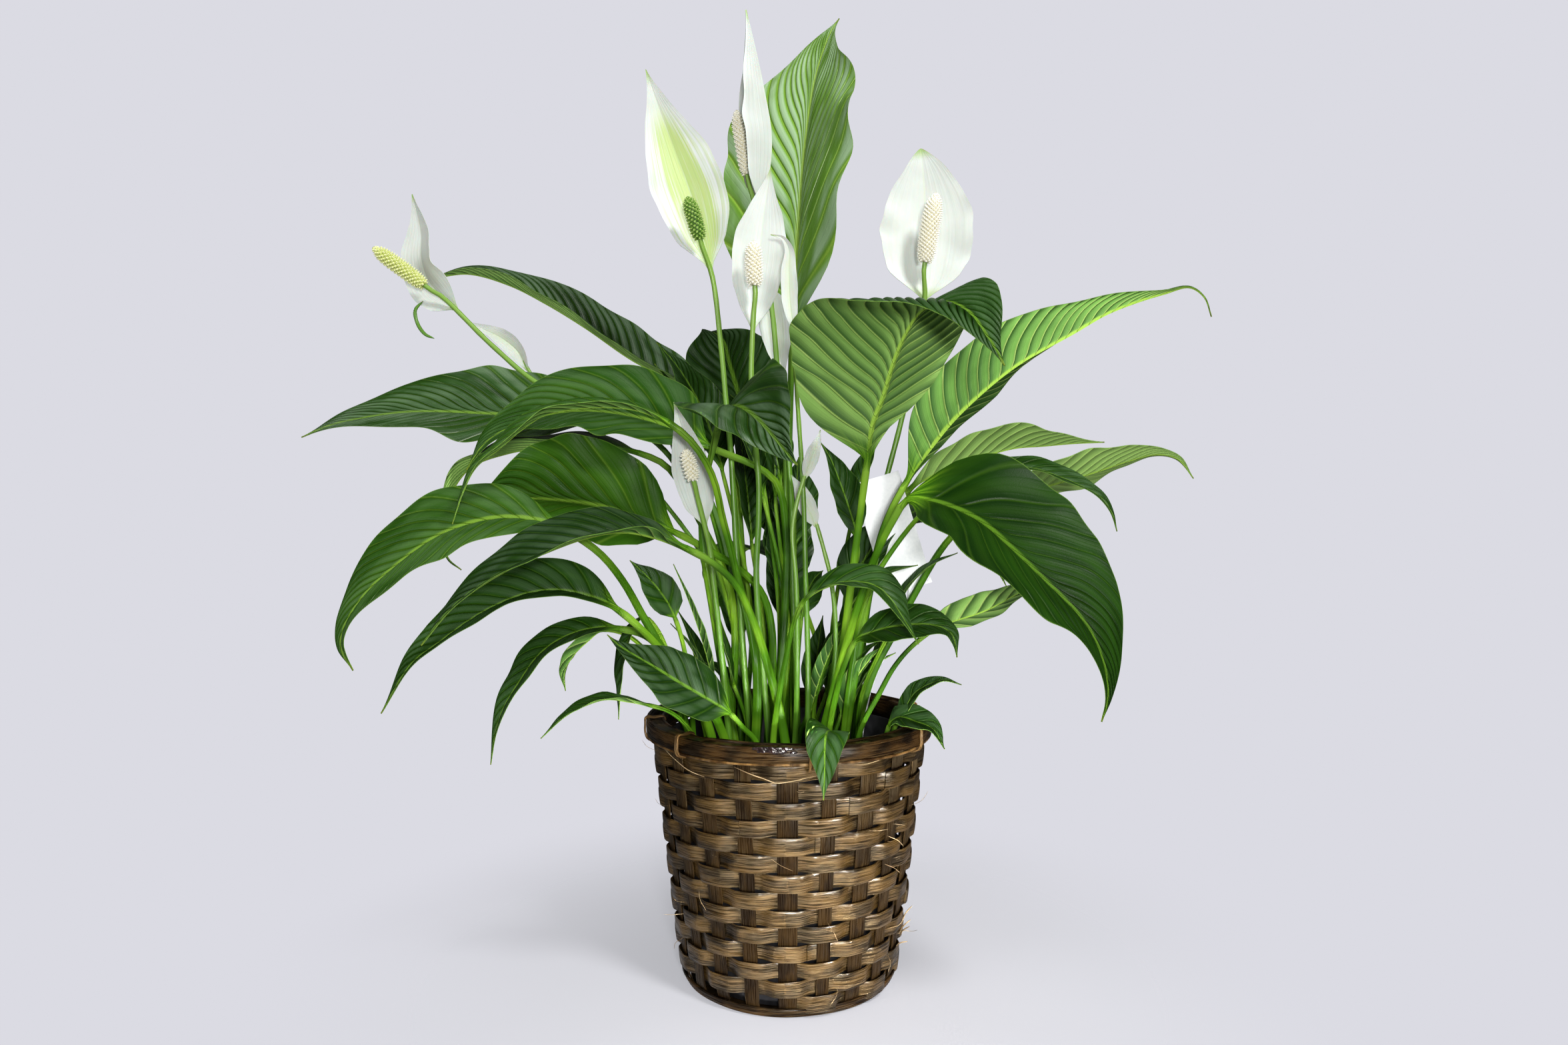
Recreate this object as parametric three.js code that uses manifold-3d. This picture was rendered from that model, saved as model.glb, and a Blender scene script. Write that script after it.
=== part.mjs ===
// A peace lily in its nursery pot, set down in a woven bamboo basket.
// Millimetres, +Z up. The origin is the middle of the basket's flat underside.
import * as THREE from 'three';
import { mergeVertices } from 'three/addons/utils/BufferGeometryUtils.js';
import Module from 'manifold-3d';

const wasm = await Module();
wasm.setup();

// Driving dimensions of the basket
const BASKET_HEIGHT = 215;
const RIM_RADIUS = 118;
const STAKE_COUNT = 21;
const STAKE_WIDTH = 15;
const STRIP_THICKNESS = 1;
const ROW_COUNT = 13.6;
const ROW_PITCH = 13.8;
const STRIP_WIDTH = 13.1;
const FIRST_ROW_Z = 7;
const BULGE_OUT = 4.2;
const BULGE_IN = 1.8;
const WALL_FOOT_RADIUS = 86.8;
const WALL_SLOPE = 0.115;
const HOOP_HEIGHT = 14;
const HOOP_THICKNESS = 2.3;
const FOOT_HOOP_HEIGHT = 6;
const BASE_THICKNESS = 3;
const TIE_AZIMUTHS = [-82, -46, 8, 60, 111, 163, 223];

// Driving dimensions of the pot and its soil
const POT_FOOT_RADIUS = 75;
const POT_TOP_RADIUS = 99;
const POT_TOP_Z = 199;
const POT_WALL = 1.5;
const SOIL_TOP = 168;
const HOLE_DEPTH = 24;
const HOLE_PLAY = 1.1;

// Clearance between neighbouring pieces
const GAP = 0.3;

// Where the plant is read from: a place seen from the front at (x, z) on the plane through the
// basket's axis is slid along the line of sight from this eye to its own depth y.
const EYE = new THREE.Vector3(-4, -902, 406);

const COLOURS = {
  bamboo: { color: 0x5d3f26, roughness: 0.45 },
  darkBamboo: { color: 0x3c2817, roughness: 0.5 },
  cane: { color: 0x7a5326, roughness: 0.45 },
  plastic: { color: 0x17171a, roughness: 0.5 },
  peat: { color: 0x2c1f17, roughness: 0.95 },
  card: { color: 0xe9eef0, roughness: 0.6 },
  leaf: { color: 0x2c5a1e, roughness: 0.35 },
  petiole: { color: 0x6f9f2c, roughness: 0.4 },
  spathe: { color: 0xf1f2ec, roughness: 0.5 },
  spadix: { color: 0xe4dfc0, roughness: 0.7 },
  greenSpadix: { color: 0x6f8f2e, roughness: 0.7 },
};

const plant = new THREE.Group();

function addPiece(name, geometry, finish) {
  const material = new THREE.MeshStandardMaterial({ ...COLOURS[finish], metalness: 0 });
  const mesh = new THREE.Mesh(geometry, material);
  mesh.name = name;
  plant.add(mesh);
  return mesh;
}

function place([x, z, y]) {
  const reach = (y - EYE.y) / -EYE.y;
  return new THREE.Vector3(x, 0, z).sub(EYE).multiplyScalar(reach).add(EYE);
}

function onCircle(radius, azimuth, z) {
  return new THREE.Vector3(radius * Math.sin(azimuth), -radius * Math.cos(azimuth), z);
}

// A closed solid spanned over a row of rings that all have the same number of points. Each ring
// runs anticlockwise about the way ahead. The second half of a ring is split the other way, so
// that a thin blade is split alike on both faces.
function sweptSolid(rings) {
  const size = rings[0].length;
  const points = rings.flat();
  const triangles = [];
  for (let i = 0; i < rings.length - 1; i += 1) {
    const here = i * size;
    const next = here + size;
    for (let k = 0; k < size; k += 1) {
      const m = (k + 1) % size;
      if (k < size / 2) {
        triangles.push(here + k, here + m, next + m, here + k, next + m, next + k);
      } else {
        triangles.push(here + k, here + m, next + k, here + m, next + m, next + k);
      }
    }
  }
  const end = (rings.length - 1) * size;
  for (let k = 1; k < size - 1; k += 1) {
    triangles.push(0, k + 1, k);
    triangles.push(end, end + k, end + k + 1);
  }
  const geometry = new THREE.BufferGeometry();
  geometry.setAttribute('position', new THREE.Float32BufferAttribute(
    points.flatMap((p) => [p.x, p.y, p.z]), 3));
  geometry.setIndex(triangles);
  return geometry;
}

function toSolid(geometry) {
  const bare = geometry.clone();
  bare.deleteAttribute('normal');
  bare.deleteAttribute('uv');
  const merged = mergeVertices(bare, 1e-4);
  return new wasm.Manifold(new wasm.Mesh({
    numProp: 3,
    vertProperties: new Float32Array(merged.attributes.position.array),
    triVerts: new Uint32Array(merged.index.array),
  }));
}

function toGeometry(solid) {
  const mesh = solid.getMesh();
  const geometry = new THREE.BufferGeometry();
  geometry.setAttribute('position', new THREE.BufferAttribute(mesh.vertProperties, 3));
  geometry.setIndex(new THREE.BufferAttribute(mesh.triVerts, 1));
  return geometry;
}

function fuse(geometries) {
  const [first, ...rest] = geometries.map(toSolid);
  return toGeometry(rest.reduce((whole, piece) => whole.add(piece), first));
}

// A ring turned about the upright axis from a profile of [radius, z] corners.
function turned(profile, segments) {
  const corners = profile.map(([radius, z]) => new THREE.Vector2(radius, z));
  return new THREE.LatheGeometry([...corners, corners[0]], segments).rotateX(Math.PI / 2);
}

// Basket: upright stakes fused to a flat base, one long strip woven round them, hoops and cane ties
function stakeRadius(z) {
  const turnIn = 16;
  const tuck = z < turnIn ? ((turnIn - z) / turnIn) ** 2 * 5 : 0;
  return WALL_FOOT_RADIUS + WALL_SLOPE * z - tuck;
}

function stakeAzimuth(index) {
  return (index * 2 * Math.PI) / STAKE_COUNT - 0.02;
}

function stake(index) {
  const azimuth = stakeAzimuth(index);
  const out = onCircle(1, azimuth, 0);
  const side = new THREE.Vector3(-out.y, out.x, 0);
  const taper = 0.82;
  return sweptSolid([1.2, 9, 18, BASKET_HEIGHT - 3].map((z) => {
    const half = (STAKE_WIDTH / 2) * (taper + (1 - taper) * (z / BASKET_HEIGHT));
    const centre = onCircle(stakeRadius(z), azimuth, z);
    return [[-1, 1], [1, 1], [1, -1], [-1, -1]].map(([across, depth]) => centre.clone()
      .addScaledVector(side, across * half)
      .addScaledVector(out, depth * (STRIP_THICKNESS / 2)));
  }));
}

function baseDisc() {
  const radius = stakeRadius(0) + STRIP_THICKNESS / 2;
  return new THREE.CylinderGeometry(radius, radius, BASE_THICKNESS, 2 * STAKE_COUNT)
    .rotateX(Math.PI / 2).translate(0, 0, BASE_THICKNESS / 2);
}

// The strip climbs one row in each turn and ends behind the rim hoops. With an odd number of stakes
// it passes each stake on the outside in one turn and on the inside in the next.
function weavingStrip() {
  const rings = [];
  for (let step = 0; step < STAKE_COUNT * ROW_COUNT; step += 1) {
    const azimuth = stakeAzimuth(step);
    const z = FIRST_ROW_Z + (step / STAKE_COUNT) * ROW_PITCH;
    const offset = step % 2 === 0 ? BULGE_OUT : -BULGE_IN;
    const low = stakeRadius(z) + offset;
    const high = stakeRadius(z + STRIP_WIDTH) + offset;
    const half = STRIP_THICKNESS / 2;
    rings.push([
      onCircle(low - half, azimuth, z),
      onCircle(high - half, azimuth, z + STRIP_WIDTH),
      onCircle(high + half, azimuth, z + STRIP_WIDTH),
      onCircle(low + half, azimuth, z),
    ]);
  }
  return sweptSolid(rings);
}

const hoopFloor = BASKET_HEIGHT - HOOP_HEIGHT;
const hoopStandOff = 2.6;
const innerHoopRadius = stakeRadius(BASKET_HEIGHT) - BULGE_IN - STRIP_THICKNESS - GAP - hoopStandOff;

function hoop(outerRadius) {
  const inner = outerRadius - HOOP_THICKNESS;
  return turned([[inner, hoopFloor], [outerRadius, hoopFloor],
    [outerRadius, BASKET_HEIGHT], [inner, BASKET_HEIGHT]], 2 * STAKE_COUNT);
}

function footHoop() {
  const low = stakeRadius(0) + STRIP_THICKNESS + GAP;
  const high = stakeRadius(FOOT_HOOP_HEIGHT) + STRIP_THICKNESS + GAP;
  return turned([[low, 0], [low + HOOP_THICKNESS, 0],
    [high + HOOP_THICKNESS, FOOT_HOOP_HEIGHT], [high, FOOT_HOOP_HEIGHT]], 2 * STAKE_COUNT);
}

// A cane runs round just under the outer hoop, and a tie climbs from it over both hoops.
function caneTie(azimuth) {
  const out = onCircle(1, azimuth, 0);
  const side = new THREE.Vector3(-out.y, out.x, 0);
  const cane = 1.2;
  const width = 5.5;
  const outside = RIM_RADIUS + GAP + cane / 2;
  const inside = innerHoopRadius - HOOP_THICKNESS - GAP - cane / 2;
  const top = BASKET_HEIGHT + GAP + cane / 2;
  const path = [[RIM_RADIUS - 1, hoopFloor - 1.4], [outside, hoopFloor - 0.6], [outside, top],
    [inside, top], [inside, hoopFloor - 1]];
  const rings = path.map(([radius, z], i) => {
    const before = path[Math.max(i - 1, 0)];
    const after = path[Math.min(i + 1, path.length - 1)];
    const ahead = new THREE.Vector2(after[0] - before[0], after[1] - before[1]).normalize();
    const centre = onCircle(radius, azimuth, z);
    const normal = out.clone().multiplyScalar(ahead.y).add(new THREE.Vector3(0, 0, -ahead.x));
    return [[-1, -1], [-1, 1], [1, 1], [1, -1]].map(([across, depth]) => centre.clone()
      .addScaledVector(side, (across * width) / 2)
      .addScaledVector(normal, (depth * cane) / 2));
  });
  return sweptSolid(rings);
}

function underRimCane() {
  const cane = 1.8;
  const outer = RIM_RADIUS - 0.4;
  const top = hoopFloor - GAP - 0.1;
  return turned([[outer - cane, top - cane], [outer, top - cane],
    [outer, top], [outer - cane, top]], 2 * STAKE_COUNT);
}

function addBasket() {
  const stakes = Array.from({ length: STAKE_COUNT }, (unused, index) => stake(index));
  addPiece('basket_stakes', fuse([baseDisc(), ...stakes]), 'darkBamboo');
  addPiece('basket_weaver', weavingStrip(), 'bamboo');
  addPiece('rim_hoop_outer', hoop(RIM_RADIUS), 'bamboo');
  addPiece('rim_hoop_inner', hoop(innerHoopRadius), 'darkBamboo');
  addPiece('foot_hoop', footHoop(), 'bamboo');
  const ties = TIE_AZIMUTHS.map((degrees) => caneTie(THREE.MathUtils.degToRad(degrees)));
  addPiece('rim_lashing', fuse([underRimCane(), ...ties]), 'cane');
}

// Nursery pot with a rolled lip, and the soil that fills it
const POT_FLOOR = BASE_THICKNESS + GAP;

function potRadius(z) {
  const share = (z - POT_FLOOR) / (POT_TOP_Z - POT_FLOOR);
  return POT_FOOT_RADIUS + (POT_TOP_RADIUS - POT_FOOT_RADIUS) * share;
}

function growPot() {
  const lip = 1.8;
  const lipDrop = 6;
  const corners = [
    [0, POT_FLOOR], [POT_FOOT_RADIUS, POT_FLOOR],
    [potRadius(POT_TOP_Z - lipDrop), POT_TOP_Z - lipDrop],
    [POT_TOP_RADIUS + lip, POT_TOP_Z - lipDrop], [POT_TOP_RADIUS + lip, POT_TOP_Z],
    [POT_TOP_RADIUS - POT_WALL, POT_TOP_Z],
    [POT_FOOT_RADIUS - POT_WALL, POT_FLOOR + POT_WALL], [0, POT_FLOOR + POT_WALL],
  ].map(([radius, z]) => new THREE.Vector2(radius, z));
  return new THREE.LatheGeometry(corners, 30).rotateX(Math.PI / 2);
}

const feet = [];

function soil() {
  const floor = POT_FLOOR + POT_WALL + GAP;
  const inset = POT_WALL + GAP + 0.2;
  const body = new THREE.LatheGeometry([
    new THREE.Vector2(0, floor), new THREE.Vector2(potRadius(floor) - inset, floor),
    new THREE.Vector2(potRadius(SOIL_TOP) - inset, SOIL_TOP), new THREE.Vector2(0, SOIL_TOP),
  ], 30).rotateX(Math.PI / 2);
  return toGeometry(feet.reduce((whole, { x, y, radius }) => {
    const hole = new THREE.CylinderGeometry(radius, radius, HOLE_DEPTH + 10, 6)
      .rotateX(Math.PI / 2).translate(x, y, SOIL_TOP - HOLE_DEPTH + (HOLE_DEPTH + 10) / 2);
    return whole.subtract(toSolid(hole));
  }, toSolid(body)));
}

// Spines of the plant's pieces
function footPoints([x, y], radius) {
  feet.push({ x, y, radius: radius / Math.cos(Math.PI / 6) + HOLE_PLAY });
  return [SOIL_TOP - HOLE_DEPTH + GAP, SOIL_TOP - 8, SOIL_TOP + 8]
    .map((z) => new THREE.Vector3(x, y, z));
}

function smoothCurve(points) {
  return new THREE.CatmullRomCurve3(points, false, 'centripetal');
}

// Places evenly spaced along a curve between two of its control points, with the way ahead.
function walk(curve, from, to, steps) {
  const fine = 240;
  const lengths = [0];
  const at = (i) => from + ((to - from) * i) / fine;
  let before = curve.getPoint(at(0));
  for (let i = 1; i <= fine; i += 1) {
    const point = curve.getPoint(at(i));
    lengths.push(lengths[i - 1] + point.distanceTo(before));
    before = point;
  }
  const stations = [];
  let i = 0;
  for (let step = 0; step <= steps; step += 1) {
    const goal = (lengths[fine] * step) / steps;
    while (i < fine && lengths[i] < goal - 1e-6) i += 1;
    stations.push({ point: curve.getPoint(at(i)), ahead: curve.getTangent(at(i)).normalize() });
  }
  return stations;
}

function squareTo(vector, ahead) {
  return vector.clone().addScaledVector(ahead, -vector.dot(ahead)).normalize();
}

function circleRing(centre, ahead, face, radius, sides, start) {
  const up = squareTo(face, ahead);
  const side = new THREE.Vector3().crossVectors(ahead, up);
  return Array.from({ length: sides }, (unused, k) => {
    const angle = start - (k * 2 * Math.PI) / sides;
    return centre.clone()
      .addScaledVector(side, radius * Math.cos(angle))
      .addScaledVector(up, radius * Math.sin(angle));
  });
}

function blend(vectors, share) {
  const spot = Math.min(share, 0.9999) * (vectors.length - 1);
  const i = Math.floor(spot);
  return vectors[i].clone().lerp(vectors[Math.min(i + 1, vectors.length - 1)], spot - i);
}

// The stations of a stem: its foot, the place where it leaves its hole, and even steps from there.
function stemStations(curve, pointCount, to, steps) {
  const foot = { point: curve.getPoint(0), ahead: new THREE.Vector3(0, 0, 1) };
  return [foot, ...walk(curve, 2 / (pointCount - 1), to, steps - 1)];
}

// A stalk: round, six-sided here, a little thinner towards its top.
function stalk(stations, radii) {
  const face = new THREE.Vector3(0.1, -1, 0.15);
  return sweptSolid(stations.map(({ point, ahead }, i) => {
    const radius = radii[0] + (radii[1] - radii[0]) * (i / (stations.length - 1));
    return circleRing(point, ahead, face, radius, 6, Math.PI);
  }));
}

function plainStalk(spine, radii, steps) {
  return stalk(stemStations(smoothCurve(spine), spine.length, 1, steps), radii);
}

// How far along a curve it comes nearest to a point.
function nearestOn(curve, goal) {
  const fine = 400;
  const shares = Array.from({ length: fine + 1 }, (unused, i) => i / fine);
  const distance = (share) => curve.getPoint(share).distanceTo(goal);
  return shares.reduce((best, share) => (distance(share) < distance(best) ? share : best));
}

// How wide a blade is along its length: a rounded base, and a long drawn-out tip.
function bladeWidth(share, { widest, base, tip }) {
  if (share < widest) {
    return (1 - (1 - share / widest) ** 2) ** base;
  }
  return Math.cos((((share - widest) / (1 - widest)) * Math.PI) / 2) ** tip;
}

const STALK_RADII = [2.8, 2];
const EDGE_THICKNESS = 0.6;
const BLADE_THICKNESS = 1.3;

// A blade's cross-section: both faces from edge to edge, folded along the midrib and curled
// towards the edges.
function bladeRing(station, share, shape, columns, stemRadius) {
  const { halfWidth, fold, curl, wave } = shape;
  const up = squareTo(blend(shape.face, share), station.ahead);
  const side = new THREE.Vector3().crossVectors(station.ahead, up);
  const neck = Math.max(0, 1 - share * 6) ** 2;
  const half = halfWidth * bladeWidth(share, shape) + 0.5 + stemRadius * neck;
  const middle = BLADE_THICKNESS + 2 * stemRadius * neck + stemRadius * 0.5 * (1 - share);
  const height = (s) => {
    const lift = Math.abs(s) * Math.sin(fold) - curl * s * s;
    const ripple = wave * s * s * Math.sin(share * 15 + s * 1.3) * Math.sin(Math.PI * share);
    return half * (1 - neck) * lift + ripple;
  };
  const face = (s, top) => {
    const thickness = EDGE_THICKNESS + (middle - EDGE_THICKNESS) * (1 - Math.abs(s)) ** 2;
    return station.point.clone()
      .addScaledVector(side, s * half * Math.cos(fold * (1 - neck)))
      .addScaledVector(up, height(s) + (top ? 0.5 : -0.5) * thickness);
  };
  const row = Array.from({ length: columns }, (unused, k) => (2 * k) / (columns - 1) - 1);
  return [...row.map((s) => face(s, true)), ...row.reverse().map((s) => face(s, false))];
}

// A leaf: the petiole climbs from the soil and widens into the blade.
function leaf(spec) {
  const columns = spec.columns ?? 5;
  const bladeSteps = spec.bladeSteps ?? 9;
  const petioleSteps = spec.petioleSteps ?? 4;
  const radii = spec.radii ?? [4.2, 2.6];
  const petiole = [...(spec.root ?? footPoints(spec.foot, radii[0])), ...spec.stem.map(place)];
  const spine = [...petiole, ...spec.blade.map(place)];
  const shape = {
    widest: 0.4, base: 0.62, tip: 1.6, fold: 0.3, curl: 0, wave: 0, ...spec,
    face: spec.face.map(([x, y, z]) => new THREE.Vector3(x, y, z).normalize()),
  };
  const curve = smoothCurve(spine);
  const joint = petiole.length / (spine.length - 1);
  const low = stemStations(curve, spine.length, joint, petioleSteps);
  const high = walk(curve, joint, 1, bladeSteps);
  const sides = 2 * columns;
  const rings = low.slice(0, -1).map(({ point, ahead }, i) => {
    const radius = radii[0] + (radii[1] - radii[0]) * (i / petioleSteps);
    return circleRing(point, ahead, shape.face[0], radius, sides, Math.PI - Math.PI / sides);
  });
  high.forEach((station, i) => {
    rings.push(bladeRing(station, i / bladeSteps, shape, columns, radii[1]));
  });
  return sweptSolid(rings);
}

const SPATHE_NECK = 0.8;

// A spathe: the white hood behind the spadix, cupped along its middle.
function spathe(spec) {
  const steps = spec.steps ?? 7;
  const shape = {
    widest: 0.42, base: 0.62, tip: 1.35, fold: 0.25, curl: -0.1, wave: 0, ...spec,
    face: spec.face.map(([x, y, z]) => new THREE.Vector3(x, y, z).normalize()),
  };
  const stations = walk(smoothCurve(spec.spine), 0, 1, steps);
  return sweptSolid(stations.map((station, i) => bladeRing(station, i / steps, shape, 5,
    SPATHE_NECK)));
}

// A spadix: a thick finger studded with florets, standing just clear of its stalk's end.
function spadix(spec) {
  const sides = 8;
  const rows = 8;
  const relief = 0.9;
  const stations = walk(smoothCurve(spec.spine), 0, 1, rows);
  return sweptSolid(stations.map(({ point, ahead }, i) => {
    const share = i / rows;
    const round = Math.sqrt(Math.max(0.12, 1 - Math.abs(2 * share - 0.92) ** 4));
    const ring = circleRing(point, ahead, new THREE.Vector3(1, 0.2, 0.1), 1, sides, Math.PI);
    return ring.map((spot, k) => {
      const stud = (i + k) % 2 === 0 ? relief : -relief;
      return spot.sub(point).multiplyScalar((spec.radius + stud) * round).add(point);
    });
  }));
}

// Leaves. Each point is [x, z, y]: as seen from the front on the middle plane, then its depth,
// minus towards the front. The face is the way the upper side looks, from the base to the tip.
const LEAVES = [
  {
    name: 'leaf_top',
    foot: [2, 36],
    stem: [[2, 310, 45], [0, 421, 45], [2, 520, 44]],
    blade: [[3, 561, 44], [7, 618, 54], [12, 677, 77], [21, 734, 105], [32, 769, 125], [41, 786, 138]],
    halfWidth: 62, fold: 0.4, wave: 3, widest: 0.52,
    face: [[-0.5, -0.85, 0.1], [-0.5, -0.8, 0.3]],
  },
  {
    name: 'leaf_upper_left',
    foot: [-14, 52],
    stem: [[-35, 310, 60], [-44, 410, 72], [-53, 454, 76]],
    blade: [[-66, 476, 80], [-129, 509, 100], [-167, 535, 105], [-200, 555, 108], [-230, 570, 105],
      [-263, 579, 95], [-291, 576, 84]],
    halfWidth: 36, fold: 0.5, widest: 0.4, tip: 0.8,
    face: [[0.1, -0.35, 0.93], [0.1, -0.3, 0.95], [-0.3, -0.3, 0.9]],
  },
  {
    name: 'leaf_far_left',
    foot: [-40, 28],
    stem: [[-46, 321, 32], [-68, 399, 42], [-96, 443, 45], [-123, 454, 46]],
    blade: [[-156, 459, 46], [-195, 463, 46], [-242, 464, 44], [-289, 466, 40], [-322, 465, 35],
      [-355, 460, 28], [-377, 455, 20], [-403, 445, 10]],
    halfWidth: 51, fold: 0.25, wave: 2, widest: 0.36,
    face: [[0, -0.66, 0.75]],
  },
  {
    name: 'leaf_left_high',
    foot: [-12, -12],
    stem: [[-2, 366, -20], [-10, 407, -22], [-27, 421, -25], [-46, 429, -25]],
    blade: [[-66, 437, -20], [-101, 454, -15], [-140, 464, -10], [-178, 466, -12], [-217, 458, -20],
      [-248, 442, -32], [-267, 418, -42]],
    halfWidth: 52, fold: 0.3, widest: 0.4,
    face: [[0.1, -0.62, 0.77], [0, -0.6, 0.8], [-0.4, -0.6, 0.7]],
  },
  {
    name: 'leaf_left_arched',
    foot: [-28, -48],
    stem: [[-27, 254, -52], [-42, 327, -60], [-55, 379, -72], [-63, 413, -80], [-79, 440, -88]],
    blade: [[-99, 457, -92], [-123, 467, -96], [-156, 470, -102], [-200, 464, -112], [-220, 452, -118],
      [-239, 436, -124], [-259, 420, -130], [-270, 399, -134], [-279, 373, -136]],
    columns: 3, halfWidth: 17, fold: 0.35, widest: 0.4,
    face: [[-0.1, -0.2, 0.95], [-0.2, -0.2, 0.95], [-0.7, -0.4, 0.5]],
  },
  {
    name: 'leaf_left_shaded',
    foot: [-52, 8],
    stem: [[-47, 310, 0], [-77, 382, 5], [-101, 421, 10]],
    blade: [[-124, 432, 12], [-157, 438, 14], [-195, 438, 15], [-234, 432, 14], [-264, 420, 10],
      [-281, 396, 4], [-287, 366, 0], [-283, 345, -2], [-272, 335, -4]],
    halfWidth: 36, fold: 0.2, widest: 0.4,
    face: [[-0.1, -0.1, 1], [-0.3, -0.1, 1], [-0.9, -0.2, 0.3], [-0.9, -0.3, -0.2]],
  },
  {
    name: 'leaf_left_broad',
    foot: [-18, 0],
    stem: [[-14, 283, 0], [-22, 315, -2], [-40, 335, -3], [-69, 353, -12]],
    blade: [[-96, 367, -24], [-124, 377, -30], [-157, 388, -35], [-212, 394, -42], [-240, 392, -47],
      [-265, 383, -54]],
    halfWidth: 48, fold: 0.5, widest: 0.45,
    face: [[0.1, -0.72, 0.7]],
  },
  {
    name: 'leaf_left_long',
    foot: [-58, -34],
    stem: [[-69, 210, -45], [-102, 263, -62], [-121, 296, -70], [-138, 326, -82], [-157, 349, -90]],
    blade: [[-185, 368, -98], [-212, 377, -104], [-245, 378, -110], [-290, 364, -118], [-334, 332, -128],
      [-354, 312, -132], [-369, 288, -136], [-372, 271, -138], [-363, 251, -140]],
    halfWidth: 40, fold: 0.25, widest: 0.42,
    face: [[-0.1, -0.62, 0.77], [-0.3, -0.62, 0.7], [-0.6, -0.6, 0.4]],
  },
  {
    name: 'leaf_left_dark',
    foot: [0, -60],
    stem: [[-5, 204, -62], [-18, 257, -68], [-31, 296, -78], [-44, 323, -87], [-63, 341, -97]],
    blade: [[-85, 353, -105], [-113, 363, -115], [-138, 367, -128], [-168, 362, -141], [-201, 350, -152],
      [-232, 336, -159], [-260, 319, -164], [-282, 301, -168], [-306, 272, -172]],
    halfWidth: 30, fold: 0.4, widest: 0.4,
    face: [[-0.1, -0.35, 0.93], [-0.25, -0.4, 0.88], [-0.5, -0.5, 0.7]],
  },
  {
    name: 'leaf_left_low',
    foot: [-42, -50],
    stem: [[-69, 227, -72], [-99, 260, -80], [-119, 282, -86]],
    blade: [[-141, 301, -94], [-166, 313, -102], [-191, 318, -108], [-218, 315, -115], [-246, 304, -122],
      [-268, 291, -128], [-291, 274, -134], [-313, 257, -138], [-340, 215, -142]],
    halfWidth: 28, fold: 0.5, widest: 0.38,
    face: [[-0.1, -0.55, 0.83], [-0.3, -0.55, 0.75]],
  },
  {
    name: 'leaf_left_drooping',
    foot: [-64, -16],
    stem: [[-74, 221, -40], [-102, 263, -50], [-119, 280, -54]],
    blade: [[-141, 286, -60], [-166, 286, -66], [-191, 277, -74], [-209, 263, -80], [-224, 242, -86],
      [-237, 221, -90], [-244, 201, -92], [-249, 172, -94]],
    columns: 3, halfWidth: 17, fold: 0.3, widest: 0.42,
    face: [[-0.2, -0.5, 0.85], [-0.7, -0.6, 0.5], [-0.8, -0.6, 0]],
  },
  {
    name: 'leaf_left_narrow',
    foot: [-66, -40],
    stem: [[-79, 196, -62], [-91, 211, -66], [-102, 218, -70]],
    blade: [[-116, 222, -75], [-133, 225, -82], [-152, 227, -90], [-169, 222, -97], [-186, 213, -104],
      [-207, 194, -115]],
    columns: 3, halfWidth: 13, fold: 0.25, widest: 0.4, radii: [2.6, 1.6],
    face: [[-0.2, -0.1, 0.98], [-0.5, -0.2, 0.85]],
  },
  {
    name: 'leaf_front_glossy',
    foot: [-30, -72],
    stem: [[-27, 190, -75], [-38, 203, -80]],
    blade: [[-49, 215, -86], [-69, 228, -95], [-91, 241, -104], [-110, 253, -112], [-141, 272, -126],
      [-151, 281, -130]],
    columns: 3, halfWidth: 22, fold: 0.15, widest: 0.4, radii: [2.8, 1.8],
    face: [[-0.3, -0.7, 0.65], [-0.3, -0.75, 0.55]],
  },
  {
    name: 'leaf_front_folded',
    foot: [-42, -20],
    stem: [[-60, 283, -22], [-72, 366, -26], [-69, 410, -30], [-62, 439, -36]],
    blade: [[-57, 457, -49], [-50, 468, -66], [-41, 470, -86], [-28, 462, -103], [-13, 446, -120],
      [-2, 433, -131], [7, 422, -138]],
    halfWidth: 46, fold: 0.45, widest: 0.25, tip: 1.3,
    face: [[-0.2, -0.2, 0.95], [-0.27, -0.45, 0.85], [-0.3, -0.6, 0.7], [-0.5, -0.85, 0.1]],
  },
  {
    name: 'leaf_back',
    foot: [6, 64],
    stem: [[4, 310, 80], [-8, 410, 92]],
    blade: [[-31, 448, 100], [-41, 479, 120], [-49, 506, 142], [-54, 524, 166], [-65, 531, 190],
      [-76, 525, 210]],
    halfWidth: 44, fold: 0.3, widest: 0.4,
    face: [[-0.2, -0.75, 0.6], [-0.2, -0.3, 0.9], [0, 0.2, 1]],
  },
  {
    name: 'leaf_right_round',
    foot: [30, -38],
    stem: [[31, 193, -45], [43, 254, -52], [50, 310, -58], [60, 388, -66]],
    blade: [[65, 426, -72], [69, 454, -82], [78, 479, -95], [86, 506, -110], [96, 528, -128],
      [110, 545, -150], [130, 550, -170], [149, 542, -186], [165, 525, -197], [178, 504, -203]],
    halfWidth: 73, fold: 0.2, widest: 0.3,
    face: [[0, 1, 0.3], [-0.1, 0.8, 0.5], [-0.1, 0.1, 1], [0.3, -0.8, 0.5]],
  },
  {
    name: 'leaf_right_high',
    foot: [44, -8],
    stem: [[56, 254, -15], [69, 332, -18], [80, 374, -20]],
    blade: [[98, 409, -24], [119, 438, -26], [141, 464, -28], [185, 502, -26], [235, 531, -16],
      [261, 546, -8], [286, 556, -2], [309, 563, 4], [330, 568, 8], [342, 560, 10], [348, 544, 10]],
    halfWidth: 38, fold: 0.75, widest: 0.3,
    face: [[-0.3, 0.85, 0.4], [-0.3, 0.85, 0.4], [-0.2, 0.7, 0.6], [0.3, 0, 0.9]],
  },
  {
    name: 'leaf_right_arch',
    foot: [56, 24],
    stem: [[66, 310, 22], [81, 366, 22]],
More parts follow.
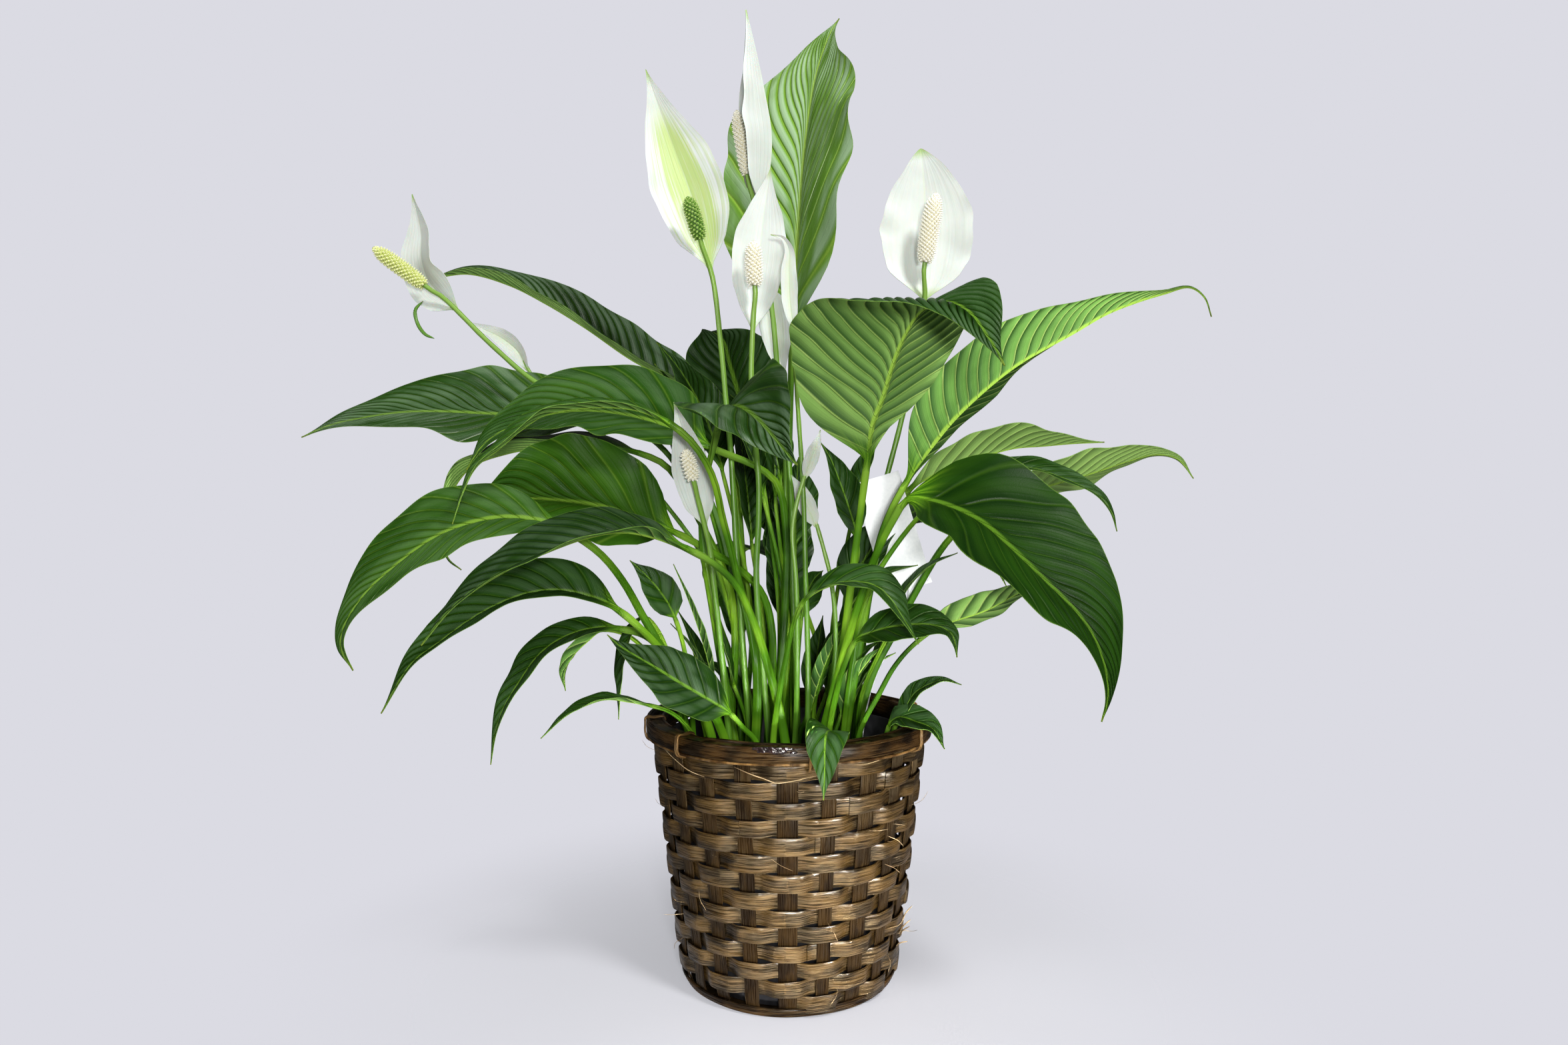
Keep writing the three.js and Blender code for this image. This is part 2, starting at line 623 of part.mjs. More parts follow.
    blade: [[100, 402, 25], [119, 414, 28], [141, 423, 31], [185, 436, 35], [210, 438, 36],
      [235, 440, 35], [261, 441, 32]],
    halfWidth: 31, fold: 0.45, widest: 0.45,
    face: [[-0.2, 0.3, 0.93], [0, 0.3, 0.93]],
  },
  {
    name: 'leaf_right_pale',
    foot: [58, 0],
    stem: [[59, 210, 0], [70, 249, 0], [87, 282, -2], [100, 307, -4], [127, 353, -6], [144, 372, -5]],
    blade: [[169, 390, -2], [197, 400, 0], [252, 416, 4], [279, 425, 6], [304, 431, 8], [322, 427, 9],
      [335, 411, 9]],
    halfWidth: 32, fold: 0.15, widest: 0.4,
    face: [[-0.1, 0.5, 0.86], [0, 0.5, 0.86], [0.3, 0.1, 0.9]],
  },
  {
    name: 'leaf_right_dark',
    foot: [42, -24],
    stem: [[64, 310, -30], [92, 360, -34], [125, 396, -36]],
    blade: [[152, 413, -38], [177, 420, -42], [202, 419, -48], [224, 412, -54], [243, 404, -60],
      [257, 396, -66], [267, 383, -70], [272, 367, -73]],
    columns: 3, halfWidth: 16, fold: 0.3, widest: 0.4, radii: [3, 1.8],
    face: [[0, -0.3, 0.95], [0.4, -0.5, 0.7]],
  },
  {
    name: 'leaf_right_front',
    foot: [18, -62],
    stem: [[28, 196, -66], [43, 254, -74], [59, 310, -84], [73, 349, -92], [85, 374, -98]],
    blade: [[98, 393, -104], [119, 392, -112], [141, 385, -122], [161, 374, -130], [186, 352, -142],
      [215, 324, -154], [239, 300, -162], [253, 280, -168], [263, 252, -172], [265, 228, -172],
      [261, 208, -170]],
    halfWidth: 50, fold: 0.4, wave: 2, widest: 0.36,
    face: [[0.25, -0.75, 0.6], [0.3, -0.75, 0.55], [0.6, -0.75, 0.2]],
  },
  {
    name: 'leaf_right_narrow',
    foot: [54, -44],
    stem: [[59, 199, -58], [76, 233, -66], [87, 253, -72], [100, 269, -78]],
    blade: [[117, 283, -86], [133, 291, -90], [163, 301, -98], [197, 319, -105], [217, 327, -107]],
    columns: 3, halfWidth: 17, fold: 0.25, widest: 0.4, radii: [2.8, 1.7],
    face: [[-0.2, 0.75, 0.6]],
  },
  {
    name: 'leaf_front_arch',
    foot: [-12, -72],
    stem: [[-13, 192, -75], [-8, 232, -80], [-2, 263, -85], [4, 291, -94]],
    blade: [[13, 310, -105], [31, 321, -115], [53, 325, -125], [73, 321, -133], [85, 310, -138],
      [95, 294, -142], [108, 273, -145]],
    columns: 3, halfWidth: 21, fold: 0.3, widest: 0.4, radii: [2.8, 1.8],
    face: [[0, -0.4, 0.9], [0.2, -0.4, 0.9], [0.7, -0.5, 0.5]],
  },
  {
    name: 'leaf_front_low',
    foot: [36, -64],
    stem: [[34, 199, -72], [41, 238, -80], [48, 260, -86]],
    blade: [[56, 276, -90], [75, 285, -98], [98, 289, -106], [120, 289, -112], [134, 283, -116],
      [138, 274, -118], [140, 262, -119]],
    columns: 3, halfWidth: 19, fold: 0.2, widest: 0.45, radii: [2.8, 1.8],
    face: [[0, -0.6, 0.8], [0.5, -0.6, 0.6]],
  },
];

// Young crowns: a few small leaves fused where their petioles rise together.
const CROWNS = [
  {
    name: 'leaves_young_left',
    foot: [-78, -8],
    leaves: [
      {
        stem: [[-98, 233, -14], [-130, 278, -18]],
        blade: [[-155, 285, -20], [-166, 277, -24], [-180, 263, -28], [-187, 249, -30], [-186, 234, -32]],
        halfWidth: 13, face: [[-0.4, 0.2, 0.9], [-1, 0.3, 0.2]],
      },
      {
        stem: [[-92, 233, -16], [-108, 283, -22]],
        blade: [[-121, 296, -25], [-130, 285, -28], [-137, 263, -32], [-140, 238, -35], [-142, 210, -37]],
        halfWidth: 11, face: [[-0.4, -0.3, 0.9], [-1, -0.4, 0.2]],
      },
      {
        stem: [[-82, 233, -20], [-88, 273, -28]],
        blade: [[-95, 296, -35], [-102, 310, -40], [-116, 328, -46], [-132, 343, -50]],
        halfWidth: 14, face: [[0.1, -0.9, 0.4]],
      },
    ],
  },
  {
    name: 'leaves_young_rim',
    foot: [72, -44],
    leaves: [
      {
        stem: [],
        blade: [[90, 207, -52], [97, 219, -54], [105, 232, -56], [116, 239, -58], [129, 243, -60],
          [144, 239, -62]],
        halfWidth: 9, face: [[-0.6, -0.5, 0.6], [0, -0.3, 1]],
      },
      {
        stem: [],
        blade: [[84, 205, -55], [92, 212, -62], [106, 208, -70], [120, 202, -78], [130, 185, -87]],
        halfWidth: 14, face: [[0.1, -0.6, 0.75], [0.6, -0.6, 0.5]],
      },
      {
        stem: [[60, 181, -70]],
        blade: [[41, 192, -90], [35, 200, -105], [31, 197, -122], [30, 184, -130], [30, 165, -136],
          [29, 142, -138]],
        halfWidth: 16, face: [[0, -0.1, 1], [0, -1, 0.4], [0, -1, 0]],
      },
    ],
  },
  {
    name: 'leaves_young_back',
    foot: [48, 52],
    leaves: [
      {
        stem: [[50, 253, 55], [60, 323, 62]],
        blade: [[81, 366, 90], [108, 377, 130], [136, 371, 170], [164, 349, 205], [181, 321, 225]],
        halfWidth: 32, face: [[0.1, -0.3, 0.9], [0.3, 0.2, 0.9]],
      },
      {
        stem: [[46, 253, 48], [46, 303, 38], [50, 328, 24], [57, 345, 8]],
        blade: [[56, 363, 4], [50, 385, 0], [42, 408, -3], [34, 428, -6], [26, 441, -8]],
        halfWidth: 17, face: [[0.5, -0.8, 0.4]],
      },
      {
        stem: [[30, 253, 70], [10, 313, 95]],
        blade: [[0, 338, 120], [-30, 353, 160], [-50, 343, 200], [-60, 323, 230]],
        halfWidth: 30, face: [[0, -0.2, 0.95], [-0.2, 0.4, 0.9]],
      },
    ],
  },
];

// Blooms: a stalk, the spadix on its end, and the spathe behind it.
const BLOOMS = [
  {
    name: 'bloom_far_left',
    foot: [-26, 10],
    stalk: [[-33, 227, 10], [-47, 294, 16], [-74, 378, 24], [-100, 431, 28], [-145, 463, 31],
      [-205, 488, 32], [-244, 520, 34], [-286, 561, 34]],
    spadix: [[-300, 570, 33], [-320, 585, 30], [-341, 600, 26]], spadixRadius: 7,
    spathe: [[-273, 548, 40], [-286, 561, 44], [-297, 575, 48], [-302, 593, 50], [-302, 614, 50],
      [-309, 644, 44]],
    halfWidth: 20, face: [[-0.6, -0.6, 0.5], [-0.6, -0.8, 0.1], [-0.2, -1, 0]],
    finish: 'spadix',
  },
  {
    name: 'bloom_green',
    foot: [-30, -14],
    stalk: [[-37, 254, -15], [-43, 343, -14], [-48, 432, -14], [-52, 476, -13], [-56, 520, -12],
      [-63, 577, -13]],
    spadix: [[-73, 608, -22], [-78, 626, -27], [-83, 641, -30]], spadixRadius: 6.5,
    spathe: [[-64, 582, -6], [-70, 607, -2], [-79, 639, 2], [-91, 672, 4], [-103, 704, 2], [-117, 745, -6]],
    halfWidth: 27, base: 0.75, face: [[0, -1, 0]],
    finish: 'greenSpadix',
  },
  {
    name: 'bloom_top',
    foot: [8, 6],
    stalk: [[6, 254, 5], [3, 327, 4], [2, 393, 3], [-3, 454, 3], [-9, 498, 3], [-13, 542, 4],
      [-19, 585, 6], [-25, 626, 8]],
    spadix: [[-34, 660, 8], [-38, 685, 9], [-43, 711, 8]], spadixRadius: 6.2,
    spathe: [[-20, 630, 9], [-18, 653, 9], [-15, 675, 10], [-15, 696, 10], [-20, 726, 9],
      [-27, 759, 7], [-35, 793, 4]],
    halfWidth: 30, fold: 0.7, face: [[-1, -0.1, 0]],
    finish: 'spadix',
  },
  {
    name: 'bloom_middle',
    foot: [-14, -34],
    stalk: [[-27, 327, -30], [-25, 377, -31], [-25, 410, -32], [-28, 443, -33], [-31, 489, -34],
      [-29, 547, -40]],
    spadix: [[-28, 570, -44], [-29, 588, -46], [-29, 605, -47]], spadixRadius: 7,
    spathe: [[-30, 531, -30], [-27, 563, -24], [-24, 596, -22], [-20, 631, -24], [-15, 665, -28]],
    halfWidth: 22, widest: 0.5, base: 0.95, face: [[0, -1, 0]],
    finish: 'spadix',
  },
  {
    name: 'bloom_right',
    foot: [34, 22],
    stalk: [[40, 227, 25], [59, 310, 28], [75, 388, 30], [93, 459, 31], [101, 498, 30], [108, 531, 28],
      [112, 560, 22]],
    spadix: [[112, 589, 14], [116, 617, 10], [121, 644, 8]], spadixRadius: 8.5,
    spathe: [[112, 558, 32], [111, 588, 38], [112, 618, 40], [111, 648, 38], [108, 681, 32]],
    halfWidth: 40, widest: 0.32, base: 0.55, face: [[0, -1, 0]],
    finish: 'spadix',
  },
  {
    name: 'bloom_low_left',
    foot: [-46, -36],
    stalk: [[-55, 254, -40], [-62, 321, -48], [-66, 355, -51], [-71, 377, -54], [-76, 397, -58]],
    spadix: [[-79, 410, -62], [-82, 422, -65], [-85, 434, -68]], spadixRadius: 5.6,
    spathe: [[-71, 371, -48], [-75, 396, -47], [-81, 421, -50], [-87, 448, -56], [-95, 474, -66]],
    halfWidth: 15, face: [[0, -1, 0]],
    finish: 'spadix',
  },
];

// Spent blooms and buds: stalk and hood fused in one.
const BUDS = [
  {
    name: 'bloom_spent_left',
    foot: [-34, 44],
    stalk: [[-52, 310, 45], [-129, 421, 85], [-184, 470, 108], [-211, 495, 114], [-219, 508, 114]],
    spathe: [[-215, 500, 114], [-223, 515, 112], [-236, 526, 110], [-250, 533, 108], [-265, 540, 106]],
    halfWidth: 9, face: [[-0.4, -0.8, 0.4]],
  },
  {
    name: 'bud_rolled',
    foot: [16, -52],
    stalk: [[16, 199, -52], [16, 254, -52], [14, 327, -52], [12, 399, -50], [7, 476, -50],
      [5, 509, -48], [4, 534, -46]],
    spathe: [[4, 532, -46], [1, 555, -45], [0, 580, -45], [0, 599, -46], [-5, 608, -48],
      [-15, 611, -50]],
    halfWidth: 7, face: [[0, -1, 0]],
  },
  {
    name: 'bloom_spent_back',
    foot: [-2, 22],
    stalk: [[-2, 310, 26], [-3, 421, 30], [-4, 498, 38], [-9, 552, 38], [-13, 568, 34]],
    spathe: [[-13, 567, 34], [-12, 547, 30], [-9, 520, 28], [-4, 491, 28]],
    halfWidth: 15, face: [[0, -1, 0]],
  },
  {
    name: 'bud_small_upper',
    foot: [4, -40],
    stalk: [[7, 254, -62], [6, 327, -60], [3, 366, -58], [6, 388, -57], [13, 413, -56]],
    spathe: [[13, 411, -56], [18, 426, -55], [24, 443, -54], [26, 451, -53]],
    halfWidth: 6, face: [[0, -1, 0]],
  },
  {
    name: 'bud_small_lower',
    foot: [28, -20],
    stalk: [[39, 277, -38], [35, 327, -37], [29, 352, -36], [23, 373, -35]],
    spathe: [[23, 371, -35], [15, 388, -34], [9, 402, -33], [2, 414, -32]],
    halfWidth: 8, face: [[0, -1, 0]],
  },
];

function addLeaves() {
  LEAVES.forEach((spec) => addPiece(spec.name, leaf(spec), 'leaf'));
  CROWNS.forEach((crown) => {
    const root = footPoints(crown.foot, 5);
    const core = new THREE.CylinderGeometry(4.4, 5, HOLE_DEPTH + 12, 8).rotateX(Math.PI / 2)
      .translate(crown.foot[0], crown.foot[1], SOIL_TOP - HOLE_DEPTH + GAP + HOLE_DEPTH / 2 + 6);
    const leaves = crown.leaves.map((spec) => leaf({
      root, columns: 3, bladeSteps: 6, petioleSteps: 3, radii: [2.6, 1.7], ...spec,
    }));
    addPiece(crown.name, fuse([core, ...leaves]), 'leaf');
  });
}

// The spadix stands on the end of its stalk. The spathe is seated on the stalk's back a little lower.
function addBloom(bloom) {
  const spadixSpine = bloom.spadix.map(place);
  const rise = spadixSpine[1].clone().sub(spadixSpine[0]).normalize();
  const end = spadixSpine[0].clone().addScaledVector(rise, -GAP - 0.1);
  const straight = 7;
  const spine = [...footPoints(bloom.foot, STALK_RADII[0]), ...bloom.stalk.map(place),
    end.clone().addScaledVector(rise, -straight), end];
  const curve = smoothCurve(spine);
  const [base, ...hood] = bloom.spathe.map(place);
  const seatShare = nearestOn(curve, base);
  const seat = { point: curve.getPoint(seatShare), ahead: curve.getTangent(seatShare) };
  const back = squareTo(new THREE.Vector3(...bloom.face[0]), seat.ahead).negate();
  const neckDepth = 0.5 * BLADE_THICKNESS + 1.25 * SPATHE_NECK;
  const seated = seat.point.clone()
    .addScaledVector(back, STALK_RADII[1] + 0.1 + neckDepth + GAP);
  addPiece(`${bloom.name}_stalk`, stalk([...stemStations(curve, spine.length, seatShare, 6),
    ...walk(curve, seatShare, 1, 2).slice(1)], STALK_RADII), 'petiole');
  addPiece(`${bloom.name}_spadix`, spadix({ spine: spadixSpine, radius: bloom.spadixRadius }),
    bloom.finish);
  addPiece(`${bloom.name}_spathe`, spathe({ ...bloom, spine: [seated, ...hood] }), 'spathe');
}

function addBlooms() {
  BLOOMS.forEach(addBloom);
  BUDS.forEach((bud) => {
    const spine = [...footPoints(bud.foot, 2.4), ...bud.stalk.map(place)];
    addPiece(bud.name, fuse([
      plainStalk(spine, [2.4, 1.6], 7),
      spathe({ ...bud, spine: bud.spathe.map(place), steps: 6, fold: 0.5 }),
    ]), 'spathe');
  });
}

// A bare white card on a thin stick, leaning among the stems.
function plantTag() {
  const tilt = THREE.MathUtils.degToRad(17);
  const depth = 10;
  const card = new THREE.BoxGeometry(40, 0.8, 98)
    .rotateY(-tilt).translate(87, depth, 365);
  const stick = [[101, 323, depth], [97, 298, depth], [84, 273, depth], [70, 243, depth],
    [62, 208, depth]].map(place);
  const foot = footPoints([60, 12], 1.8);
  return fuse([card, plainStalk([...foot, ...stick.reverse()], [1.8, 1.4], 8)]);
}

addBasket();
addPiece('grow_pot', growPot(), 'plastic');
addLeaves();
addBlooms();
addPiece('plant_tag', plantTag(), 'card');
addPiece('soil', soil(), 'peat');

export default plant;
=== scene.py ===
import math

import bmesh
import bpy
import numpy as np
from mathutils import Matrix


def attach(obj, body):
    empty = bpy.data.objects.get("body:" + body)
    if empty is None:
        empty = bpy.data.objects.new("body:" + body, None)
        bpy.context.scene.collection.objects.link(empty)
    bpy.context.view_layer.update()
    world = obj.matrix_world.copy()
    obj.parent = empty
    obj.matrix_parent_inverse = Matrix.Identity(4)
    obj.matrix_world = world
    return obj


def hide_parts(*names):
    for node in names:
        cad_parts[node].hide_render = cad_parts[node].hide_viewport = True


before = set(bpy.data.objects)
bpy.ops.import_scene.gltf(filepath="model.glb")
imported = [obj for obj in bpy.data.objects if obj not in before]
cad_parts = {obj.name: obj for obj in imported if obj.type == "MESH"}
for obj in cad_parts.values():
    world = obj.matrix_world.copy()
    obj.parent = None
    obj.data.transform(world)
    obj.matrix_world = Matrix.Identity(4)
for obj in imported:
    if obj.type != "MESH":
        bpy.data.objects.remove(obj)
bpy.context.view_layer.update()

bpy.ops.object.select_all(action="DESELECT")

# Camera. The plant is seen level from a little under its middle, through a wide lens that looks
# down by two degrees.
EYE = np.array([-0.004, -0.902, 0.406])
bpy.ops.object.camera_add(location=EYE, rotation=(math.radians(88), 0, 0))
camera = bpy.context.object
camera.name = "camera"
camera.data.lens = 25
camera.data.sensor_width = 36
bpy.context.scene.camera = camera


# Floor and light. A wide pale sheet that fades into the studio's pale air, lit by a large soft
# lamp in front to the right, one above, a weak one from the left, and small ones by the camera, low
# in front and low at the right.
def new_finish(name, colour, **sockets):
    """A material whose shader holds these plain values."""
    finish = bpy.data.materials.new(name)
    finish.use_nodes = True
    shader = finish.node_tree.nodes["Principled BSDF"]
    shader.inputs["Base Color"].default_value = (*colour, 1)
    for socket, value in sockets.items():
        shader.inputs[socket.replace("_", " ")].default_value = value
    return finish


def step(finish, kind, inputs, result=0, **settings):
    """Adds a node to a finish and gives its result. Each input is a value or another step's result."""
    node = finish.node_tree.nodes.new("ShaderNode" + kind)
    for setting, value in settings.items():
        setattr(node, setting, value)
    for socket, value in inputs.items():
        if isinstance(value, bpy.types.NodeSocket):
            finish.node_tree.links.new(value, node.inputs[socket])
        elif isinstance(value, tuple) and node.inputs[socket].type == "RGBA":
            node.inputs[socket].default_value = (*value, 1)
        else:
            node.inputs[socket].default_value = value
    return node.outputs[result]


def drive(finish, socket, result):
    shader = finish.node_tree.nodes["Principled BSDF"]
    finish.node_tree.links.new(result, shader.inputs[socket])


def ranged(finish, value, low, high, out_low=0.0, out_high=1.0):
    """Turns low to high smoothly into out_low to out_high, and holds the ends."""
    return step(finish, "MapRange", {0: value, 1: low, 2: high, 3: out_low, 4: out_high},
                interpolation_type="SMOOTHSTEP")


def own_place(finish):
    return step(finish, "TexCoord", {}, "Object")


AIR = (0.708, 0.708, 0.768)
FILL_LIGHT = (0.74, 0.73, 0.7)
FILL_STRENGTH = 0.34
MIRRORED_STRENGTH = 0.1
world = bpy.data.worlds.new("studio_air")
world.use_nodes = True
bpy.context.scene.world = world
to_camera = step(world, "LightPath", {}, "Is Camera Ray")
mirrored = to_camera.node.outputs["Is Glossy Ray"]
air = step(world, "Mix", {0: to_camera, 6: FILL_LIGHT, 7: AIR}, 2, data_type="RGBA")
filling = step(world, "MapRange", {0: mirrored, 3: FILL_STRENGTH, 4: MIRRORED_STRENGTH})
strength = step(world, "MapRange", {0: to_camera, 3: filling, 4: 1.0})
background = world.node_tree.nodes["Background"]
world.node_tree.links.new(air, background.inputs["Color"])
world.node_tree.links.new(strength, background.inputs["Strength"])
bpy.context.scene.view_settings.view_transform = "Standard"


def soft_lamp(name, place, target, size, power, colour, spread=180):
    bpy.ops.object.light_add(type="AREA", location=place)
    lamp = bpy.context.object
    lamp.name = name
    lamp.data.shape = "DISK"
    lamp.data.size = size
    lamp.data.energy = power
    lamp.data.color = colour
    lamp.data.spread = math.radians(spread)
    way = np.array(target) - np.array(place)
    lamp.rotation_euler = (math.atan2(math.hypot(way[0], way[1]), -way[2]), 0,
                           math.atan2(-way[0], way[1]))


soft_lamp("lamp_front_right", (0.7, -1.0, 1.6), (0, 0, 0.4), 0.32, 23, (1, 0.99, 0.97))
soft_lamp("lamp_above", (-0.1, -0.2, 1.9), (0, 0, 0.3), 0.5, 3, (1, 0.99, 0.98))
soft_lamp("lamp_left", (-1.3, -1.1, 0.8), (0, 0, 0.4), 0.7, 6, (0.98, 0.99, 1))
soft_lamp("lamp_near_camera", (0.1, -1.2, 0.5), (0, 0, 0.25), 0.12, 8.5, (1, 0.99, 0.97))
soft_lamp("lamp_low_front", (0.06, -1.0, 0.02), (0, 0, 0.08), 0.12, 0.58, (1, 0.98, 0.95), 36)
soft_lamp("lamp_low_right", (0.62, -0.82, 0.02), (0.03, 0, 0.09), 0.1, 0.62, (1, 0.98, 0.95), 30)

bpy.ops.mesh.primitive_circle_add(vertices=128, radius=5, fill_type="NGON", location=(0, 0, -0.0005))
floor = bpy.context.object
floor.name = "studio_floor"
sheet = new_finish("studio_sheet", (0.42, 0.422, 0.46), Roughness=0.9, Emission_Strength=0.34,
                   Emission_Color=(0.86, 0.865, 0.93, 1))
far = step(sheet, "VectorMath", {0: own_place(sheet)}, "Value", operation="LENGTH")
fade = ranged(sheet, far, 0.08, 0.48)
clear = step(sheet, "BsdfTransparent", {})
matt = sheet.node_tree.nodes["Principled BSDF"].outputs[0]
seen = step(sheet, "MixShader", {0: fade, 1: matt, 2: clear})
sheet.node_tree.links.new(seen, sheet.node_tree.nodes["Material Output"].inputs["Surface"])
floor.data.materials.append(sheet)


# Basket floor and stakes. Twenty-one flat bamboo laths stand up from a round bamboo floor. They
# are stained dark, and their grain runs upwards.
BASKET_HEIGHT = 0.215
STAKE_COUNT = 21
WALL_FOOT_RADIUS = 0.0868
WALL_SLOPE = 0.115
TUCK_HEIGHT = 0.016
TUCK_DEPTH = 0.005


def wall_radius(z):
    """The wall's radius at a height: it leans outwards, and is drawn in at the foot."""
    tuck = np.clip((TUCK_HEIGHT - z) / TUCK_HEIGHT, 0, None) ** 2 * TUCK_DEPTH
    return WALL_FOOT_RADIUS + WALL_SLOPE * z - tuck


def on_wall(radius, azimuth, z):
    """Places on a circle about the basket's axis. Azimuth 0 is in front."""
    return np.stack(np.broadcast_arrays(radius * np.sin(azimuth), -radius * np.cos(azimuth), z), axis=-1)


def rolled_up(name, rings, marks, closed=False):
    """A flat grid rolled up into a skin through rows of rings, with both ends filled unless it is
    closed. Each mark is a number for every point, kept as an attribute that the finish reads."""
    rows, sides = rings.shape[:2]
    bpy.ops.mesh.primitive_grid_add(x_subdivisions=sides, y_subdivisions=rows - 1)
    skin = bpy.context.object
    skin.name = skin.data.name = name
    skin.data.uv_layers.remove(skin.data.uv_layers[0])
    places = np.concatenate([rings, rings[:, :1]], axis=1)
    skin.data.vertices.foreach_set("co", places.astype(np.float32).ravel())
    for mark, values in marks.items():
        values = np.broadcast_to(values, (rows, sides))
        values = np.concatenate([values, values[:, :1]], axis=1)
        attribute = skin.data.attributes.new(mark, "FLOAT", "POINT")
        attribute.data.foreach_set("value", values.astype(np.float32).ravel())
    bpy.ops.object.mode_set(mode="EDIT")
    bpy.ops.mesh.select_all(action="SELECT")
    bpy.ops.mesh.remove_doubles(threshold=1e-7)
    if not closed:
        bpy.ops.mesh.fill_holes(sides=0)
    bpy.ops.mesh.normals_make_consistent(inside=False)
    bpy.ops.object.mode_set(mode="OBJECT")
    bpy.ops.object.shade_smooth_by_angle(angle=math.radians(50))
    return skin


def joined(name, pieces):
    """One piece of this name, made of several."""
    bpy.ops.object.select_all(action="DESELECT")
    for piece in pieces:
        piece.select_set(True)
    bpy.context.view_layer.objects.active = pieces[0]
    bpy.ops.object.join()
    pieces[0].name = pieces[0].data.name = name
    pieces[0].select_set(False)
    return pieces[0]


def dress(piece, finish, slot, *nodes):
    """Gives a piece its finish, hangs it on the root body and hides the plain nodes that it replaces.
    Its slot is not used.
    """
    piece.data.materials.append(finish)
    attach(piece, "root")
    if nodes:
        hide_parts(*nodes)


# A lath's section, as shares of its half width and half thickness.
LATH_SECTION = np.array([(-1, 0.5), (-0.93, 0.95), (-0.6, 1), (-0.2, 1), (0.2, 1), (0.6, 1), (0.93, 0.95),
                         (1, 0.5), (1, -0.5), (0.93, -1), (0.3, -1), (-0.3, -1), (-0.93, -1), (-1, -0.5)])


def lath_rings(middles, outs, acrosses, half_widths, half_thickness, crown):
    """The rings of a flat lath along a row of middles. A crown swells its outer face."""
    across, depth = LATH_SECTION.T
    swell = np.where(depth > 0, crown * (1 - across ** 2), 0)
    return (middles[:, None]
            + acrosses[:, None] * (across * half_widths[:, None])[..., None]
            + outs[:, None] * (depth * half_thickness + swell)[..., None])


def lath_marks(run, half_widths, **others):
    """How far along a lath and across it each point lies, in metres, for its grain."""
    marks = {"run": np.asarray(run)[:, None], "rise": LATH_SECTION[:, 0] * half_widths[:, None]}
    return {**marks, **{name: np.reshape(values, (-1, 1)) for name, values in others.items()}}


FRONT_STAKE_WIDTHS = [0.0165, 0.012, 0.0155, 0.014]
FIRST_AZIMUTH = -0.02
STAKE_THICKNESS = 0.0011
STAKE_CROWN = 0.0002
ROW_PITCH = 0.0142


def stake(index, rng):
    """One upright lath, from the floor to just under the rim."""
    width = FRONT_STAKE_WIDTHS[index] if index < len(FRONT_STAKE_WIDTHS) else rng.uniform(0.0125, 0.016)
    azimuth = index * math.tau / STAKE_COUNT + FIRST_AZIMUTH + rng.uniform(-0.012, 0.012)
    z = np.linspace(0.0012, BASKET_HEIGHT - 0.003, 48)
    bow = 0.0003 * np.sin(z * math.pi / ROW_PITCH + index * math.pi)
    middles = on_wall(wall_radius(z) + bow, azimuth, z)
    outs = on_wall(1.0, azimuth, 0 * z)
    sides = np.stack([-outs[:, 1], outs[:, 0], 0 * z], axis=1)
    halves = width / 2 * (0.84 + 0.16 * z / BASKET_HEIGHT)
    rings = lath_rings(middles, outs, sides, halves, STAKE_THICKNESS / 2, STAKE_CROWN)
    return rolled_up("stake", rings, lath_marks(z, halves, piece=index, over=0))


def noise(finish, vector, scale, detail=3.0, roughness=0.5):
    return step(finish, "TexNoise",
                {"Vector": vector, "Scale": scale, "Detail": detail, "Roughness": roughness})


def streaks(finish, vector, scales, detail=3.0, roughness=0.5):
    """Noise with a scale of its own along each of the three ways."""
    stretched = step(finish, "Mapping", {"Vector": vector, "Scale": scales})
    return noise(finish, stretched, 1.0, detail, roughness)


def ramp(finish, factor, stops):
    """Colours laid along a factor, each stop a place and a colour."""
    result = step(finish, "ValToRGB", {0: factor})
    band = result.node.color_ramp
    while len(band.elements) < len(stops):
        band.elements.new(0.5)
    for element, (place, colour) in zip(band.elements, stops):
        element.position = place
        element.color = (*colour, 1)
    return result


def calc(finish, operation, a, b=0.0):
    return step(finish, "Math", {0: a, 1: b}, operation=operation)


def times(finish, a, b):
    return calc(finish, "MULTIPLY", a, b)


def plus(finish, a, b):
    return calc(finish, "ADD", a, b)


def mixed(finish, share, a, b, way="MIX"):
    return step(finish, "Mix", {0: share, 6: a, 7: b}, 2, data_type="RGBA", blend_type=way)


def mark(finish, name):
    return step(finish, "Attribute", {}, "Fac", attribute_name=name)


def raise_grain(finish, height, distance, strength=1.0):
    bump = step(finish, "Bump", {"Height": height, "Distance": distance, "Strength": strength})
    drive(finish, "Normal", bump)


